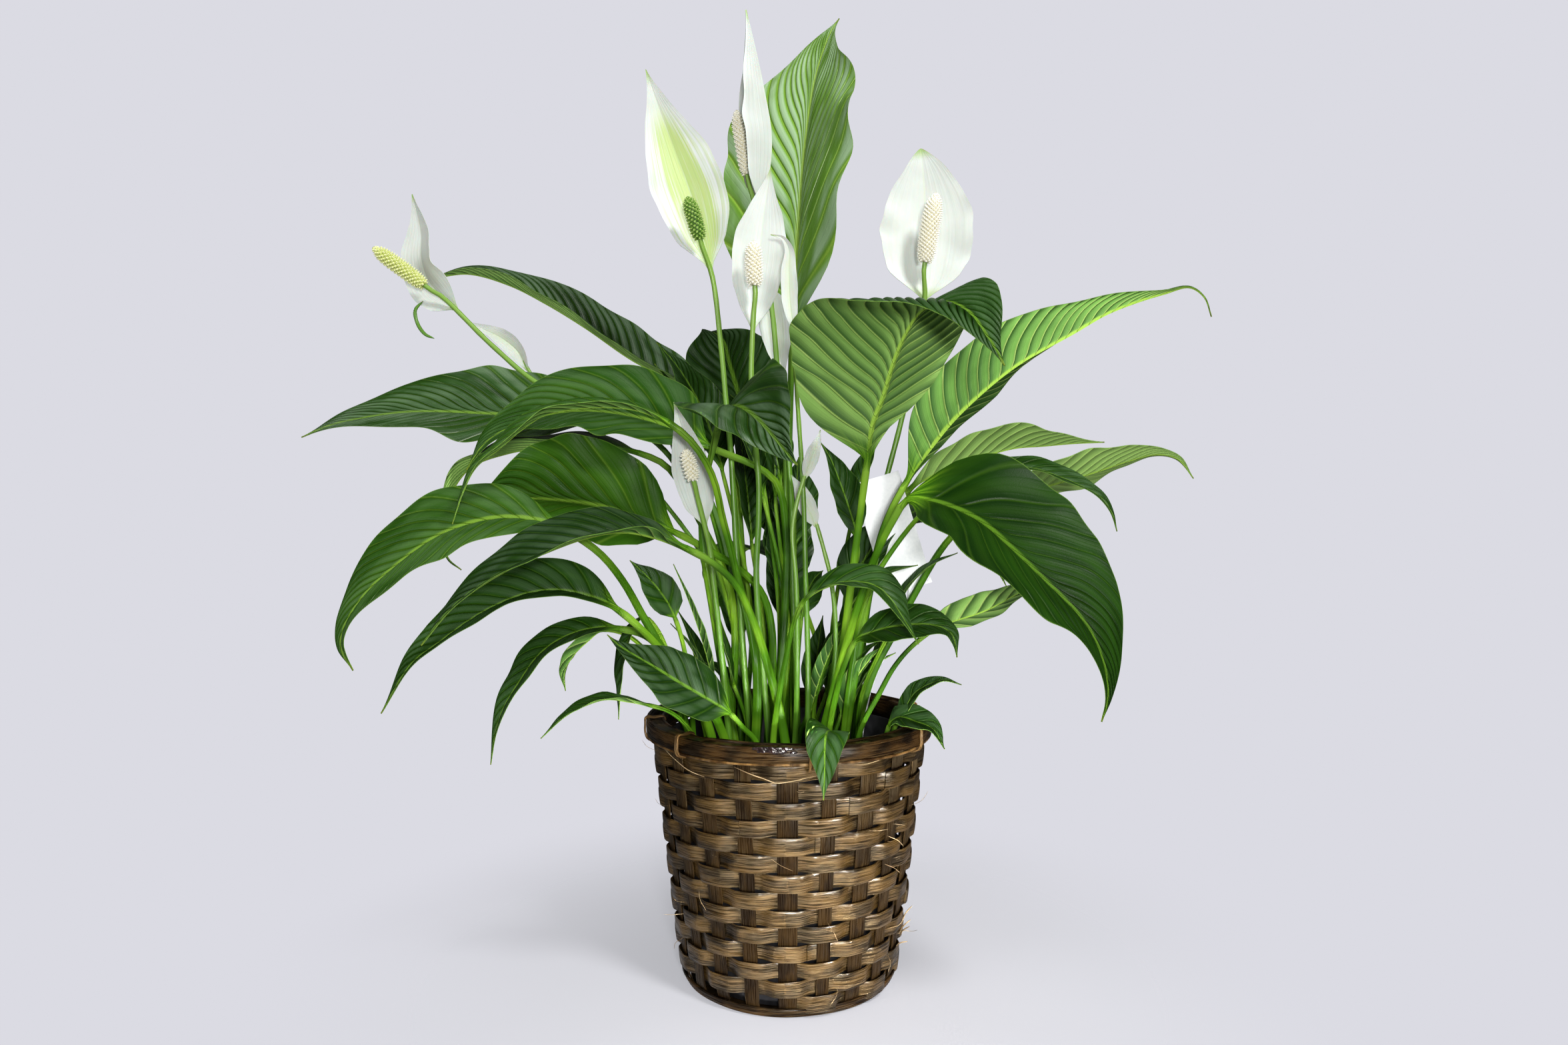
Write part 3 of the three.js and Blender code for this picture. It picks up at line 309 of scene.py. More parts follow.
def bamboo_finish(name, dark, middle, light, shine, wear_and_highlight, turn=0.0):
    """Stained and varnished bamboo: fine dark and golden streaks along the lath, burnt patches, paler wear
    with a painted highlight where the lath bows out, and painted shade where it passes behind another.
    The fibres draw each glint out across the lath."""
    finish = new_finish(name, middle, Coat_Roughness=0.27, Anisotropic=1.0, Anisotropic_Rotation=turn,
                        Specular_Tint=(1, 0.74, 0.4, 1), IOR=1.7)
    upright = step(finish, "VectorTransform", {"Vector": (0, 0, 1)}, vector_type="VECTOR",
                   convert_from="OBJECT", convert_to="WORLD")
    drive(finish, "Tangent", upright)
    along = step(finish, "CombineXYZ", {0: mark(finish, "run"), 1: mark(finish, "rise"),
                                        2: times(finish, mark(finish, "piece"), 0.37)})
    fine = streaks(finish, along, (60, 3600, 1), 3, 0.6)
    coarse = streaks(finish, along, (26, 1300, 1))
    split = streaks(finish, along, (24, 3100, 7), 2)
    patch = streaks(finish, along, (34, 90, 3))
    streak = plus(finish, times(finish, fine, 0.58), times(finish, coarse, 0.42))
    grain = ramp(finish, streak, [(0.38, dark), (0.46, middle), (0.54, light), (0.61, middle), (0.68, dark)])
    grain = mixed(finish, ranged(finish, split, 0.6, 0.66, 0.0, 0.85), grain, dark)
    stained = mixed(finish, ranged(finish, patch, 0.48, 0.6, 0.0, 0.85), grain, dark)
    stained = mixed(finish, ranged(finish, patch, 0.47, 0.36, 0.0, 0.5), stained, light)
    # Wear and painted highlight: the lath is paler where it bows furthest out.
    bow_wear_and_highlight = ranged(finish, mark(finish, "over"), 0.3, 1.0, 0.0, wear_and_highlight)
    golden = mixed(finish, bow_wear_and_highlight, stained, mixed(finish, 0.6, stained, light, "SCREEN"))
    # Painted shade: the colour darkens where a lath passes behind another, at over near 0. The stakes and
    # the basket's floor, all marked over 0, are darkened this way all over.
    painted_tuck_shade = ranged(finish, mark(finish, "over"), 0.0, 0.15, 0.4, 0.0)
    drive(finish, "Base Color", mixed(finish, painted_tuck_shade, golden, dark))
    drive(finish, "Roughness", ranged(finish, fine, 0.35, 0.65, 0.52, 0.36))
    drive(finish, "Specular IOR Level", ranged(finish, streak, 0.45, 0.57, shine * 0.08, shine))
    drive(finish, "Coat Weight", ranged(finish, fine, 0.48, 0.58, 0.0, shine * 0.8))
    clefts = ranged(finish, split, 0.57, 0.63, 0.0, 0.4)
    raise_grain(finish, calc(finish, "SUBTRACT", streak, clefts), 0.0006)
    return finish


rng = np.random.default_rng(21)
stake_bamboo = bamboo_finish("stake_bamboo", (0.006, 0.0035, 0.002), (0.015, 0.008, 0.0026),
                             (0.038, 0.0205, 0.006), 0.25, 0.0, turn=0.25)
FLOOR_THICKNESS = 0.0026
floor_radius = wall_radius(0.0) + 0.0005
bpy.ops.mesh.primitive_cylinder_add(vertices=84, radius=floor_radius, depth=FLOOR_THICKNESS,
                                    location=(0, 0, 0.0014))
basket_floor = bpy.context.object
bpy.ops.object.transform_apply()
bpy.ops.object.mode_set(mode="EDIT")
bpy.ops.mesh.bevel(offset=0.0006, segments=2)
bpy.ops.object.mode_set(mode="OBJECT")
for name in ("run", "rise", "piece", "over"):
    basket_floor.data.attributes.new(name, "FLOAT", "POINT")
corners = np.array([v.co for v in basket_floor.data.vertices])
basket_floor.data.attributes["run"].data.foreach_set("value", corners[:, 0])
basket_floor.data.attributes["rise"].data.foreach_set("value", corners[:, 1])
stakes = joined("basket_stakes_looks", [basket_floor] + [stake(i, rng) for i in range(STAKE_COUNT)])
dress(stakes, stake_bamboo, "bamboo_dark", "basket_stakes")


# Weaving strip. One long thin bamboo lath climbs round the stakes, over one and behind the next. It
# bows out where it passes over, and new lengths are let in with their ends showing.
BULGE_OUT = 0.0031
BULGE_IN = 0.0018
FIRST_ROW_Z = 0.0029
STRIP_WIDTH = 0.0134
STRIP_THICKNESS = 0.001
STRIP_CROWN = 0.0003
SPAN_LENGTH = 0.031
STEPS_PER_SPAN = 12
STRIP_TURNS = 13.6
LET_IN_STAND_OFF = 0.0011
LET_IN_WIDTH_SHARE = 0.96
# Where each new length starts, and how long it is, in stakes.
LET_IN = [(63.55, 1.75), (88.6, 2.3), (146.4, 1.6), (189.7, 2.4), (207.6, 1.3), (232.5, 2.2), (254.5, 1.7)]


def strip_course(spans):
    """The strip's azimuth, height, half width, bow and share of passing over, after these numbers of
    stakes."""
    azimuth = spans * math.tau / STAKE_COUNT + FIRST_AZIMUTH
    sway = 0.0005 * np.sin(spans * 0.83 + 1.0) + 0.0005 * np.sin(spans * 0.31 + 2.0)
    half = STRIP_WIDTH / 2 * (1 + 0.05 * np.sin(spans * 0.57) + 0.035 * np.sin(spans * 2.3 + 1))
    z = FIRST_ROW_Z + spans / STAKE_COUNT * ROW_PITCH + STRIP_WIDTH / 2 + sway
    over = np.clip(0.5 - 0.68 * np.cos(math.pi * spans), 0, 1)
    over = over * over * (3 - 2 * over)
    bow = -BULGE_IN + (BULGE_OUT + BULGE_IN) * over
    return azimuth, z, half, bow, over


def strip_piece(first, last, stand_off=0.0, narrow=1.0):
    """A length of strip between two counts of stakes."""
    spans = np.linspace(first, last, int((last - first) * STEPS_PER_SPAN) + 1)
    azimuth, z, half, bow, over = strip_course(spans)
    outs = on_wall(1.0, azimuth, 0 * z)
    leaning = on_wall(WALL_SLOPE, azimuth, 1 + 0 * z)
    leaning /= np.linalg.norm(leaning, axis=1)[:, None]
    middles = on_wall(wall_radius(z) + bow + stand_off, azimuth, z)
    rings = lath_rings(middles, outs, leaning, half * narrow, STRIP_THICKNESS / 2, STRIP_CROWN)
    piece = np.floor(spans / STAKE_COUNT) + 0.001 * first
    return rolled_up("strip", rings, lath_marks(spans * SPAN_LENGTH, half, piece=piece, over=over))


strip_bamboo = bamboo_finish("strip_bamboo", (0.002, 0.0012, 0.0006), (0.011, 0.0057, 0.0016),
                             (0.066, 0.036, 0.0085), 1.0, 0.05)
strips = [strip_piece(0.0, STAKE_COUNT * STRIP_TURNS)]
for first, length in LET_IN:
    strips.append(strip_piece(first, first + length, LET_IN_STAND_OFF, LET_IN_WIDTH_SHARE))
weaver = joined("basket_weaver_looks", strips)
dress(weaver, strip_bamboo, "bamboo", "basket_weaver")


# Rim and foot hoops. Two thicker bamboo laths hold the top of the wall between them, the outer one
# lapped at the back and the inner one at the right, with a flat packing between their tops. Three
# thin splints are wound round the foot.
RIM_RADIUS = 0.118
HOOP_HEIGHT = 0.0122
INNER_HOOP_HEIGHT = 0.0155
HOOP_THICKNESS = 0.0023
HOOP_CROWN = 0.0004
LAP = 0.16
LAPPED_RINGS = 30
LAP_STAND_OFF = 0.0008
PACKING_HEIGHT = 0.0022
SPLINT_HEIGHT = 0.0028
SPLINT_THICKNESS = 0.0014
SPLINT_STAND_OFF = 0.0036
INNER_HOOP_RADIUS = wall_radius(BASKET_HEIGHT) - BULGE_IN - STRIP_THICKNESS - STRIP_CROWN - 0.0026


def hoop(name, radius, middle_z, height, thickness, lap_at, sway=0.0004, phase=0.0):
    """A lath bent into a hoop of this outer radius. It starts and ends at the azimuth of its lap,
    where its first end is thinned and its last end stands off a little."""
    azimuth = np.linspace(lap_at, lap_at + math.tau + LAP, 260)
    turn = azimuth + phase
    edge = np.clip((azimuth - lap_at - math.tau) / LAP + 0.15, 0, 1)
    thin = 1 - 0.75 * np.clip(1 - (azimuth - lap_at) / LAP, 0, 1)
    z = middle_z + sway * (np.sin(turn * 3) + 0.6 * np.sin(turn * 7 + 1))
    half = height / 2 * (1 + 0.05 * np.sin(turn * 5 + 2) + 0.03 * np.sin(turn * 13))
    outs = on_wall(1.0, azimuth, 0 * z)
    ups = on_wall(0.0, azimuth, 1 + 0 * z)
    stand = radius - HOOP_CROWN - thickness / 2 - (1 - thin) * thickness / 2
    middles = on_wall(stand, azimuth, z)
    rings = lath_rings(middles, outs, ups, half, thickness / 2, HOOP_CROWN)
    last = slice(-LAPPED_RINGS, None)
    rings[last] += outs[last, None] * (edge[last, None, None] * LAP_STAND_OFF)
    return rolled_up(name, rings, lath_marks(azimuth * radius, half, piece=phase, over=0.45))


hoop_bamboo = bamboo_finish("hoop_bamboo", (0.0015, 0.0008, 0.0006), (0.007, 0.0035, 0.0015),
                            (0.05, 0.025, 0.007), 0.3, 0.05)
rim_middle = BASKET_HEIGHT - HOOP_HEIGHT / 2
outer_hoop = hoop("rim_hoop_outer_looks", RIM_RADIUS, rim_middle, HOOP_HEIGHT, HOOP_THICKNESS, 2.6)
inner_hoop = hoop("rim_hoop_inner_looks", INNER_HOOP_RADIUS, BASKET_HEIGHT - INNER_HOOP_HEIGHT / 2,
                  INNER_HOOP_HEIGHT, HOOP_THICKNESS, 1.2, phase=4.0)
packing = hoop("rim_packing", RIM_RADIUS - HOOP_THICKNESS - 0.0001, BASKET_HEIGHT - 0.0021, PACKING_HEIGHT,
               RIM_RADIUS - HOOP_THICKNESS - INNER_HOOP_RADIUS - 0.0002, 0.4, phase=2.0)
dress(packing, hoop_bamboo, "bamboo_dark")
splints = [hoop("splint", wall_radius(low) + SPLINT_STAND_OFF, low, SPLINT_HEIGHT, SPLINT_THICKNESS, lap_at,
                sway=0.0003, phase=low * 900)
           for low, lap_at in [(0.0018, 2.1), (0.0043, 3.4), (0.0066, 2.8)]]
foot_hoop = joined("foot_hoop_looks", splints)
dress(outer_hoop, hoop_bamboo, "bamboo", "rim_hoop_outer")
dress(inner_hoop, hoop_bamboo, "bamboo_dark", "rim_hoop_inner")
dress(foot_hoop, hoop_bamboo, "bamboo", "foot_hoop")


# Rim lashing. Pairs of split cane are tied over both hoops, and one more cane runs round under the
# outer hoop.
def smooth_path(points, shares):
    """Places on a smooth curve through points. Share 0 is the first point and 1 the last."""
    points = np.asarray(points, float)
    padded = np.vstack([2 * points[0] - points[1], points, 2 * points[-1] - points[-2]])
    spot = np.clip(np.asarray(shares) * (len(points) - 1), 0, len(points) - 1 - 1e-9)
    i = spot.astype(int)
    w = (spot - i)[:, None]
    a, b, c, d = (padded[i + k] for k in range(4))
    ab, bc, cd = (np.sqrt(np.linalg.norm(gap, axis=1))[:, None] for gap in (b - a, c - b, d - c))
    leave = ((b - a) / ab - (c - a) / (ab + bc) + (c - b) / bc) * bc
    reach = ((c - b) / bc - (d - b) / (bc + cd) + (d - c) / cd) * bc
    return (b + leave * w + (3 * (c - b) - 2 * leave - reach) * w ** 2
            + (2 * (b - c) + leave + reach) * w ** 3)


def stations(points, first, last, count):
    """Places evenly spaced on the curve between two shares, the ways ahead, and the length so far."""
    fine = np.linspace(first, last, 900)
    track = smooth_path(points, fine)
    lengths = np.concatenate([[0], np.cumsum(np.linalg.norm(np.diff(track, axis=0), axis=1))])
    goals = np.linspace(0, lengths[-1], count)
    shares = np.interp(goals, lengths, fine)
    places = smooth_path(points, shares)
    ahead = (smooth_path(points, np.minimum(shares + 1e-4, 1))
             - smooth_path(points, np.maximum(shares - 1e-4, 0)))
    return places, ahead / np.linalg.norm(ahead, axis=1)[:, None], goals


def square_to(vectors, ahead):
    """The vectors turned square to the ways ahead, one unit long."""
    vectors = vectors - ahead * (vectors * ahead).sum(1)[:, None]
    return vectors / np.linalg.norm(vectors, axis=1)[:, None]


def round_rings(places, ahead, faces, radii, sides):
    """Round rings about a path, whose first quarter faces the way of faces."""
    ups = square_to(np.broadcast_to(faces, ahead.shape), ahead)
    rights = np.cross(ahead, ups)
    angles = math.pi - math.pi / sides - np.arange(sides) * math.tau / sides
    spokes = rights[:, None] * np.cos(angles)[:, None] + ups[:, None] * np.sin(angles)[:, None]
    return places[:, None] + spokes * np.broadcast_to(radii, len(places))[:, None, None]


def cane(points, radius, sides, count, face=(0.1, 0.2, 1.0), ends=1.0):
    """A round cane or fibre along a smooth curve. Ends is the share of its radius left at its ends."""
    places, ahead, run = stations(points, 0, 1, count)
    share = np.linspace(-1, 1, count)
    radii = radius * (ends + (1 - ends) * (1 - share ** 4))
    rings = round_rings(places, ahead, np.array(face), radii, sides)
    around = np.linspace(0, math.tau * radius, sides)
    marks = {"run": run[:, None], "rise": around, "piece": 1000 * points[0][0], "over": 0.5}
    return rolled_up("cane", rings, marks)


TIE_AZIMUTHS = [-82, -46, 8, 60, 111, 163, 223]
TIE_SPREAD = 0.0115
HOOP_FLOOR = BASKET_HEIGHT - HOOP_HEIGHT
CANE_RADIUS = 0.0009
UNDER_CANE_RADIUS = 0.0011


def tie(degrees, rng):
    """Two turns of cane side by side over the hoops."""
    out = RIM_RADIUS + CANE_RADIUS
    inside = INNER_HOOP_RADIUS - HOOP_THICKNESS - 0.0007
    top = BASKET_HEIGHT + CANE_RADIUS
    turns = []
    for side in (-1, 1):
        low = HOOP_FLOOR - rng.uniform(0.002, 0.005)
        start = math.radians(degrees) + side * TIE_SPREAD
        course = [(RIM_RADIUS - 0.007, low - 0.003), (RIM_RADIUS - 0.001, low), (out, HOOP_FLOOR + 0.001),
                  (out, HOOP_FLOOR + 0.007), (out - 0.0003, top - 0.0012), (out - 0.002, top),
                  (RIM_RADIUS - 0.006, top - 0.0006), (inside + 0.0018, top), (inside, top - 0.0015),
                  (inside, HOOP_FLOOR + 0.005), (inside + 0.001, HOOP_FLOOR - 0.002)]
        lean = rng.uniform(-0.012, 0.012)
        points = [on_wall(r, start + lean * (i / len(course) - 0.5), z) for i, (r, z) in enumerate(course)]
        turns.append(cane(points, CANE_RADIUS, 8, 56, face=(math.cos(start), math.sin(start), 0.05)))
    return turns


rng = np.random.default_rng(7)
cane_finish = bamboo_finish("split_cane", (0.015, 0.007, 0.003), (0.06, 0.03, 0.01), (0.18, 0.1, 0.032),
                            0.4, 0.2)
under_turn = np.linspace(0, math.tau, 240)
under_points = on_wall(RIM_RADIUS - 0.0013 + 0.0003 * np.sin(under_turn * 9), under_turn,
                       HOOP_FLOOR - UNDER_CANE_RADIUS + 0.0004 * np.sin(under_turn * 5 + 1))
under_ahead = np.roll(under_points, -1, axis=0) - under_points
under_ahead[-1] = under_ahead[0]
under_ahead /= np.linalg.norm(under_ahead, axis=1)[:, None]
under_rings = round_rings(under_points, under_ahead, np.array([0.0, 0, 1]), UNDER_CANE_RADIUS, 8)
under_rings[-1] = under_rings[0]
under_marks = {"run": (under_turn * RIM_RADIUS)[:, None], "rise": 0.0, "piece": 5.0, "over": 0.3}
lashing_parts = [rolled_up("under_cane", under_rings, under_marks, closed=True)]
for degrees in TIE_AZIMUTHS:
    lashing_parts += tie(degrees, rng)
dress(joined("rim_lashing_looks", lashing_parts), cane_finish, "cane", "rim_lashing")


# Loose fibres and lacquer. A thin pale splint has sprung from the top row in front, hairs and
# splinters stand out round the wall, and dark lacquer has run on the rim.
def fibre(places, radius, sides, count, ends=0.4):
    """A fibre along wall places, each an azimuth in degrees, a height and a stand-off."""
    points = [on_wall(wall_radius(z) + off, math.radians(degrees), z) for degrees, z, off in places]
    return cane(points, radius, sides, count, ends=ends)


FIBRE_COUNT = 34
DROP_COUNT = 44
fibres = [
    fibre([(-21, 0.198, 0.0046), (-15, 0.194, 0.0052), (-9, 0.1905, 0.0056), (-5, 0.188, 0.0058),
           (0, 0.189, 0.0058), (6, 0.1915, 0.0055), (11, 0.193, 0.005)], 0.0003, 6, 50),
    fibre([(-58, 0.2, 0.0046), (-50, 0.196, 0.006), (-42, 0.19, 0.0058), (-34, 0.187, 0.005)],
          0.00025, 6, 40),
    fibre([(22, 0.2, 0.0046), (30, 0.1985, 0.0052), (40, 0.2005, 0.005)], 0.0003, 6, 30),
]
for _ in range(FIBRE_COUNT):
    degrees, z = rng.uniform(-180, 180), rng.uniform(0.015, 0.205)
    length, rise = rng.uniform(0.008, 0.03), rng.uniform(-0.012, 0.012)
    turn = rng.choice([-1, 1]) * rng.uniform(2, 9)
    places = [(degrees, z, 0.002), (degrees + turn * 0.5, z + rise * 0.4, 0.004 + length * 0.3),
              (degrees + turn, z + rise, 0.004 + length * 0.45)]
    fibres.append(fibre(places, rng.uniform(0.00012, 0.00022), 5, 16, ends=0.3))
for degrees, z, rise in [(76, 0.042, 0.006), (78, 0.039, 0.002), (73, 0.034, -0.002), (80, 0.048, 0.009)]:
    places = [(degrees - 6, z, 0.003), (degrees, z + rise * 0.5, 0.0045), (degrees + 4, z + rise, 0.0095)]
    fibres.append(fibre(places, 0.00055, 5, 12, ends=0.2))
straw = bamboo_finish("straw", (0.12, 0.07, 0.03), (0.3, 0.2, 0.1), (0.55, 0.42, 0.24), 0.2, 0.3)
dress(joined("loose_fibres", fibres), straw, "cane")


def reshape(piece, name, kind, **settings):
    """Adds a modifier to the active piece and applies it."""
    modifier = piece.modifiers.new(name, kind)
    for setting, value in settings.items():
        setattr(modifier, setting, value)
    bpy.ops.object.modifier_apply(modifier=name)


def mottled_finish(name, colour, stops, scale, detail, grain, coarse=0.5, rough=None, **sockets):
    """A finish whose colour and grain follow one noise, and its roughness too where that is given."""
    finish = new_finish(name, colour, **sockets)
    mottle = noise(finish, own_place(finish), scale, detail, coarse)
    drive(finish, "Base Color", ramp(finish, mottle, stops))
    if rough:
        drive(finish, "Roughness", ranged(finish, mottle, *rough))
    raise_grain(finish, mottle, grain)
    return finish


drops = []
for _ in range(DROP_COUNT):
    bpy.ops.mesh.primitive_uv_sphere_add(segments=14, ring_count=9)
    drop = bpy.context.object
    drop.scale = (rng.uniform(0.0012, 0.0042), 0.0008, rng.uniform(0.0006, 0.0016))
    angle = math.radians(rng.triangular(-15, -6, 2))
    drop.rotation_euler = (0, 0, angle)
    drop.location = on_wall(RIM_RADIUS + 0.0001, angle, BASKET_HEIGHT - rng.uniform(0.0003, 0.0038))
    bpy.ops.object.transform_apply()
    bpy.ops.object.shade_smooth()
    drops.append(drop)
lacquer = joined("rim_lacquer", drops)
lacquer.select_set(True)
reshape(lacquer, "run_together", "REMESH", mode="VOXEL", voxel_size=0.0003)
reshape(lacquer, "settled", "SMOOTH", factor=0.5, iterations=3)
bpy.ops.object.shade_smooth()
dark_lacquer = mottled_finish("dark_red_lacquer", (0.012, 0.004, 0.003),
                              [(0.35, (0.003, 0.001, 0.001)), (0.7, (0.016, 0.004, 0.003))],
                              260, 3, 0.0006, Roughness=0.25, Coat_Weight=0.6)
dress(lacquer, dark_lacquer, "bamboo")


# Nursery pot. A thin black pot with a thicker lip stands on the basket's floor, hidden behind the
# weave.
POT_FOOT_RADIUS = 0.075
POT_TOP_RADIUS = 0.099
POT_FLOOR = 0.0033
POT_TOP_Z = 0.199
POT_WALL = 0.0015
LIP_HEIGHT = 0.006
LIP_THICKNESS = 0.0018
POT_TAPER = POT_FOOT_RADIUS / POT_TOP_RADIUS
INNER_TAPER = (POT_FOOT_RADIUS - POT_WALL) / (POT_TOP_RADIUS - POT_WALL)


def pick(piece, wanted):
    """In edit mode, selects only the faces whose middle and normal wanted() takes."""
    net = bmesh.from_edit_mesh(piece.data)
    bpy.ops.mesh.select_all(action="DESELECT")
    for face in net.faces:
        if wanted(face.calc_center_median(), face.normal):
            face.select_set(True)
    net.select_flush_mode()
    bmesh.update_edit_mesh(piece.data)


bpy.ops.mesh.primitive_cylinder_add(vertices=96, radius=POT_TOP_RADIUS, depth=POT_TOP_Z - POT_FLOOR,
                                    location=(0, 0, (POT_TOP_Z + POT_FLOOR) / 2))
pot = bpy.context.object
pot.name = pot.data.name = "grow_pot_looks"
bpy.ops.object.transform_apply()
bpy.ops.object.mode_set(mode="EDIT")
pick(pot, lambda middle, normal: normal.z < -0.9)
bpy.ops.transform.resize(value=(POT_TAPER, POT_TAPER, 1))
bpy.ops.mesh.select_all(action="SELECT")
bpy.ops.mesh.bisect(plane_co=(0, 0, POT_TOP_Z - LIP_HEIGHT), plane_no=(0, 0, 1))
pick(pot, lambda middle, normal: abs(normal.z) < 0.5 and middle.z > POT_TOP_Z - LIP_HEIGHT)
bpy.ops.mesh.extrude_region_shrink_fatten(TRANSFORM_OT_shrink_fatten={"value": LIP_THICKNESS})
pick(pot, lambda middle, normal: normal.z > 0.9 and middle.xy.length < 0.01)
bpy.ops.mesh.inset(thickness=POT_WALL)
pot_depth = POT_TOP_Z - POT_FLOOR - POT_WALL
bpy.ops.mesh.extrude_region_move(TRANSFORM_OT_translate={"value": (0, 0, -pot_depth)})
bpy.ops.transform.resize(value=(INNER_TAPER, INNER_TAPER, 1))
bpy.ops.object.mode_set(mode="OBJECT")
reshape(pot, "rounded_lip", "BEVEL", width=0.0005, segments=2, limit_method="ANGLE")
bpy.ops.object.shade_smooth_by_angle(angle=math.radians(35))
black_plastic = mottled_finish("black_plastic", (0.012, 0.012, 0.014),
                               [(0.4, (0.009, 0.009, 0.011)), (0.8, (0.03, 0.03, 0.034))],
                               90, 4, 0.0002, rough=(0.3, 0.8, 0.38, 0.6), Roughness=0.45)
dress(pot, black_plastic, "black_plastic", "grow_pot")


# Potting soil. Dark crumbly peat fills the pot to a few centimetres under its lip.
SOIL_TOP = 0.168
SOIL_SIDE = 150
SOIL_SHARE = 0.842
bpy.ops.mesh.primitive_grid_add(x_subdivisions=SOIL_SIDE, y_subdivisions=SOIL_SIDE, size=2)
soil = bpy.context.object
soil.name = soil.data.name = "soil_looks"
x, y = np.array([v.co[:2] for v in soil.data.vertices]).T
soil_radius = POT_FOOT_RADIUS + (POT_TOP_RADIUS - POT_FOOT_RADIUS) * SOIL_SHARE - POT_WALL - 0.0002
disc = np.stack([x * np.sqrt(1 - y ** 2 / 2), y * np.sqrt(1 - x ** 2 / 2), 0 * x], axis=1)
disc = disc * (soil_radius - 0.0005) + [0, 0, SOIL_TOP - 0.002]
soil.data.vertices.foreach_set("co", disc.astype(np.float32).ravel())
for name, size, depth in [("heaps", 0.03, 0.004), ("crumbs", 0.006, 0.0045), ("grains", 0.002, 0.0015)]:
    lumps = bpy.data.textures.new(name, "CLOUDS")
    lumps.noise_scale = size
    reshape(soil, name, "DISPLACE", texture=lumps, texture_coords="LOCAL", direction="Z", strength=depth)
bpy.ops.object.mode_set(mode="EDIT")
bpy.ops.mesh.select_all(action="SELECT")
bpy.ops.mesh.region_to_loop()
bpy.ops.mesh.extrude_region_move(TRANSFORM_OT_translate={"value": (0, 0, -0.05)})
bpy.ops.transform.resize(value=(0.93, 0.93, 0))
bpy.ops.mesh.edge_face_add()
bpy.ops.mesh.select_all(action="SELECT")
bpy.ops.mesh.normals_make_consistent(inside=False)
bpy.ops.object.mode_set(mode="OBJECT")
bpy.ops.object.shade_smooth_by_angle(angle=math.radians(45))
peat = mottled_finish("peat", (0.02, 0.012, 0.008),
                      [(0.3, (0.006, 0.004, 0.003)), (0.55, (0.03, 0.018, 0.011)),
                       (0.75, (0.085, 0.055, 0.034))],
                      380, 5, 0.0012, coarse=0.65, Roughness=0.95)
dress(soil, peat, "peat", "soil")


# Leaves. Each rises from the soil on its own round green petiole, which widens into a thin glossy
# blade with a folded midrib, side veins that sweep towards the tip, and a paler matt underside.
# A place is given as (x, z, depth): as seen from the front on the middle plane, then its depth. The
# face is the way the upper side looks, from the base of the blade to its tip.
def seen_at(places):
    """Places slid along the line of sight, from the middle plane to their own depth."""
    x, z, depth = np.array(places, float).T
    reach = (depth - EYE[1]) / -EYE[1]
    flat = np.stack([x, 0 * x, z], axis=1)
    return EYE + (flat - EYE) * reach[:, None]


ROOT_DEPTH = 0.0237


def foot_points(foot):
    """The start of a stem in the soil: it stands upright through a hole at foot."""
    return [(*foot, SOIL_TOP + z) for z in (-ROOT_DEPTH, -0.008, 0.008)]


def turning(faces, shares):
    """Ways that turn evenly through a few given ones."""
    faces = np.array(faces, float)
    faces /= np.linalg.norm(faces, axis=1)[:, None]
    spot = np.minimum(shares, 0.9999) * (len(faces) - 1)
    i = spot.astype(int)
    j = np.minimum(i + 1, len(faces) - 1)
    return faces[i] + (faces[j] - faces[i]) * (spot - i)[:, None]


def blade_width(share, widest, base, tip):
    """Half width of a blade along its length, as a share: a round base and a drawn-out tip."""
    low = (1 - (1 - np.minimum(share / widest, 1)) ** 2) ** base
    high = np.cos(np.clip((share - widest) / (1 - widest), 0, 1) * math.pi / 2) ** tip
    return np.where(share < widest, low, high)


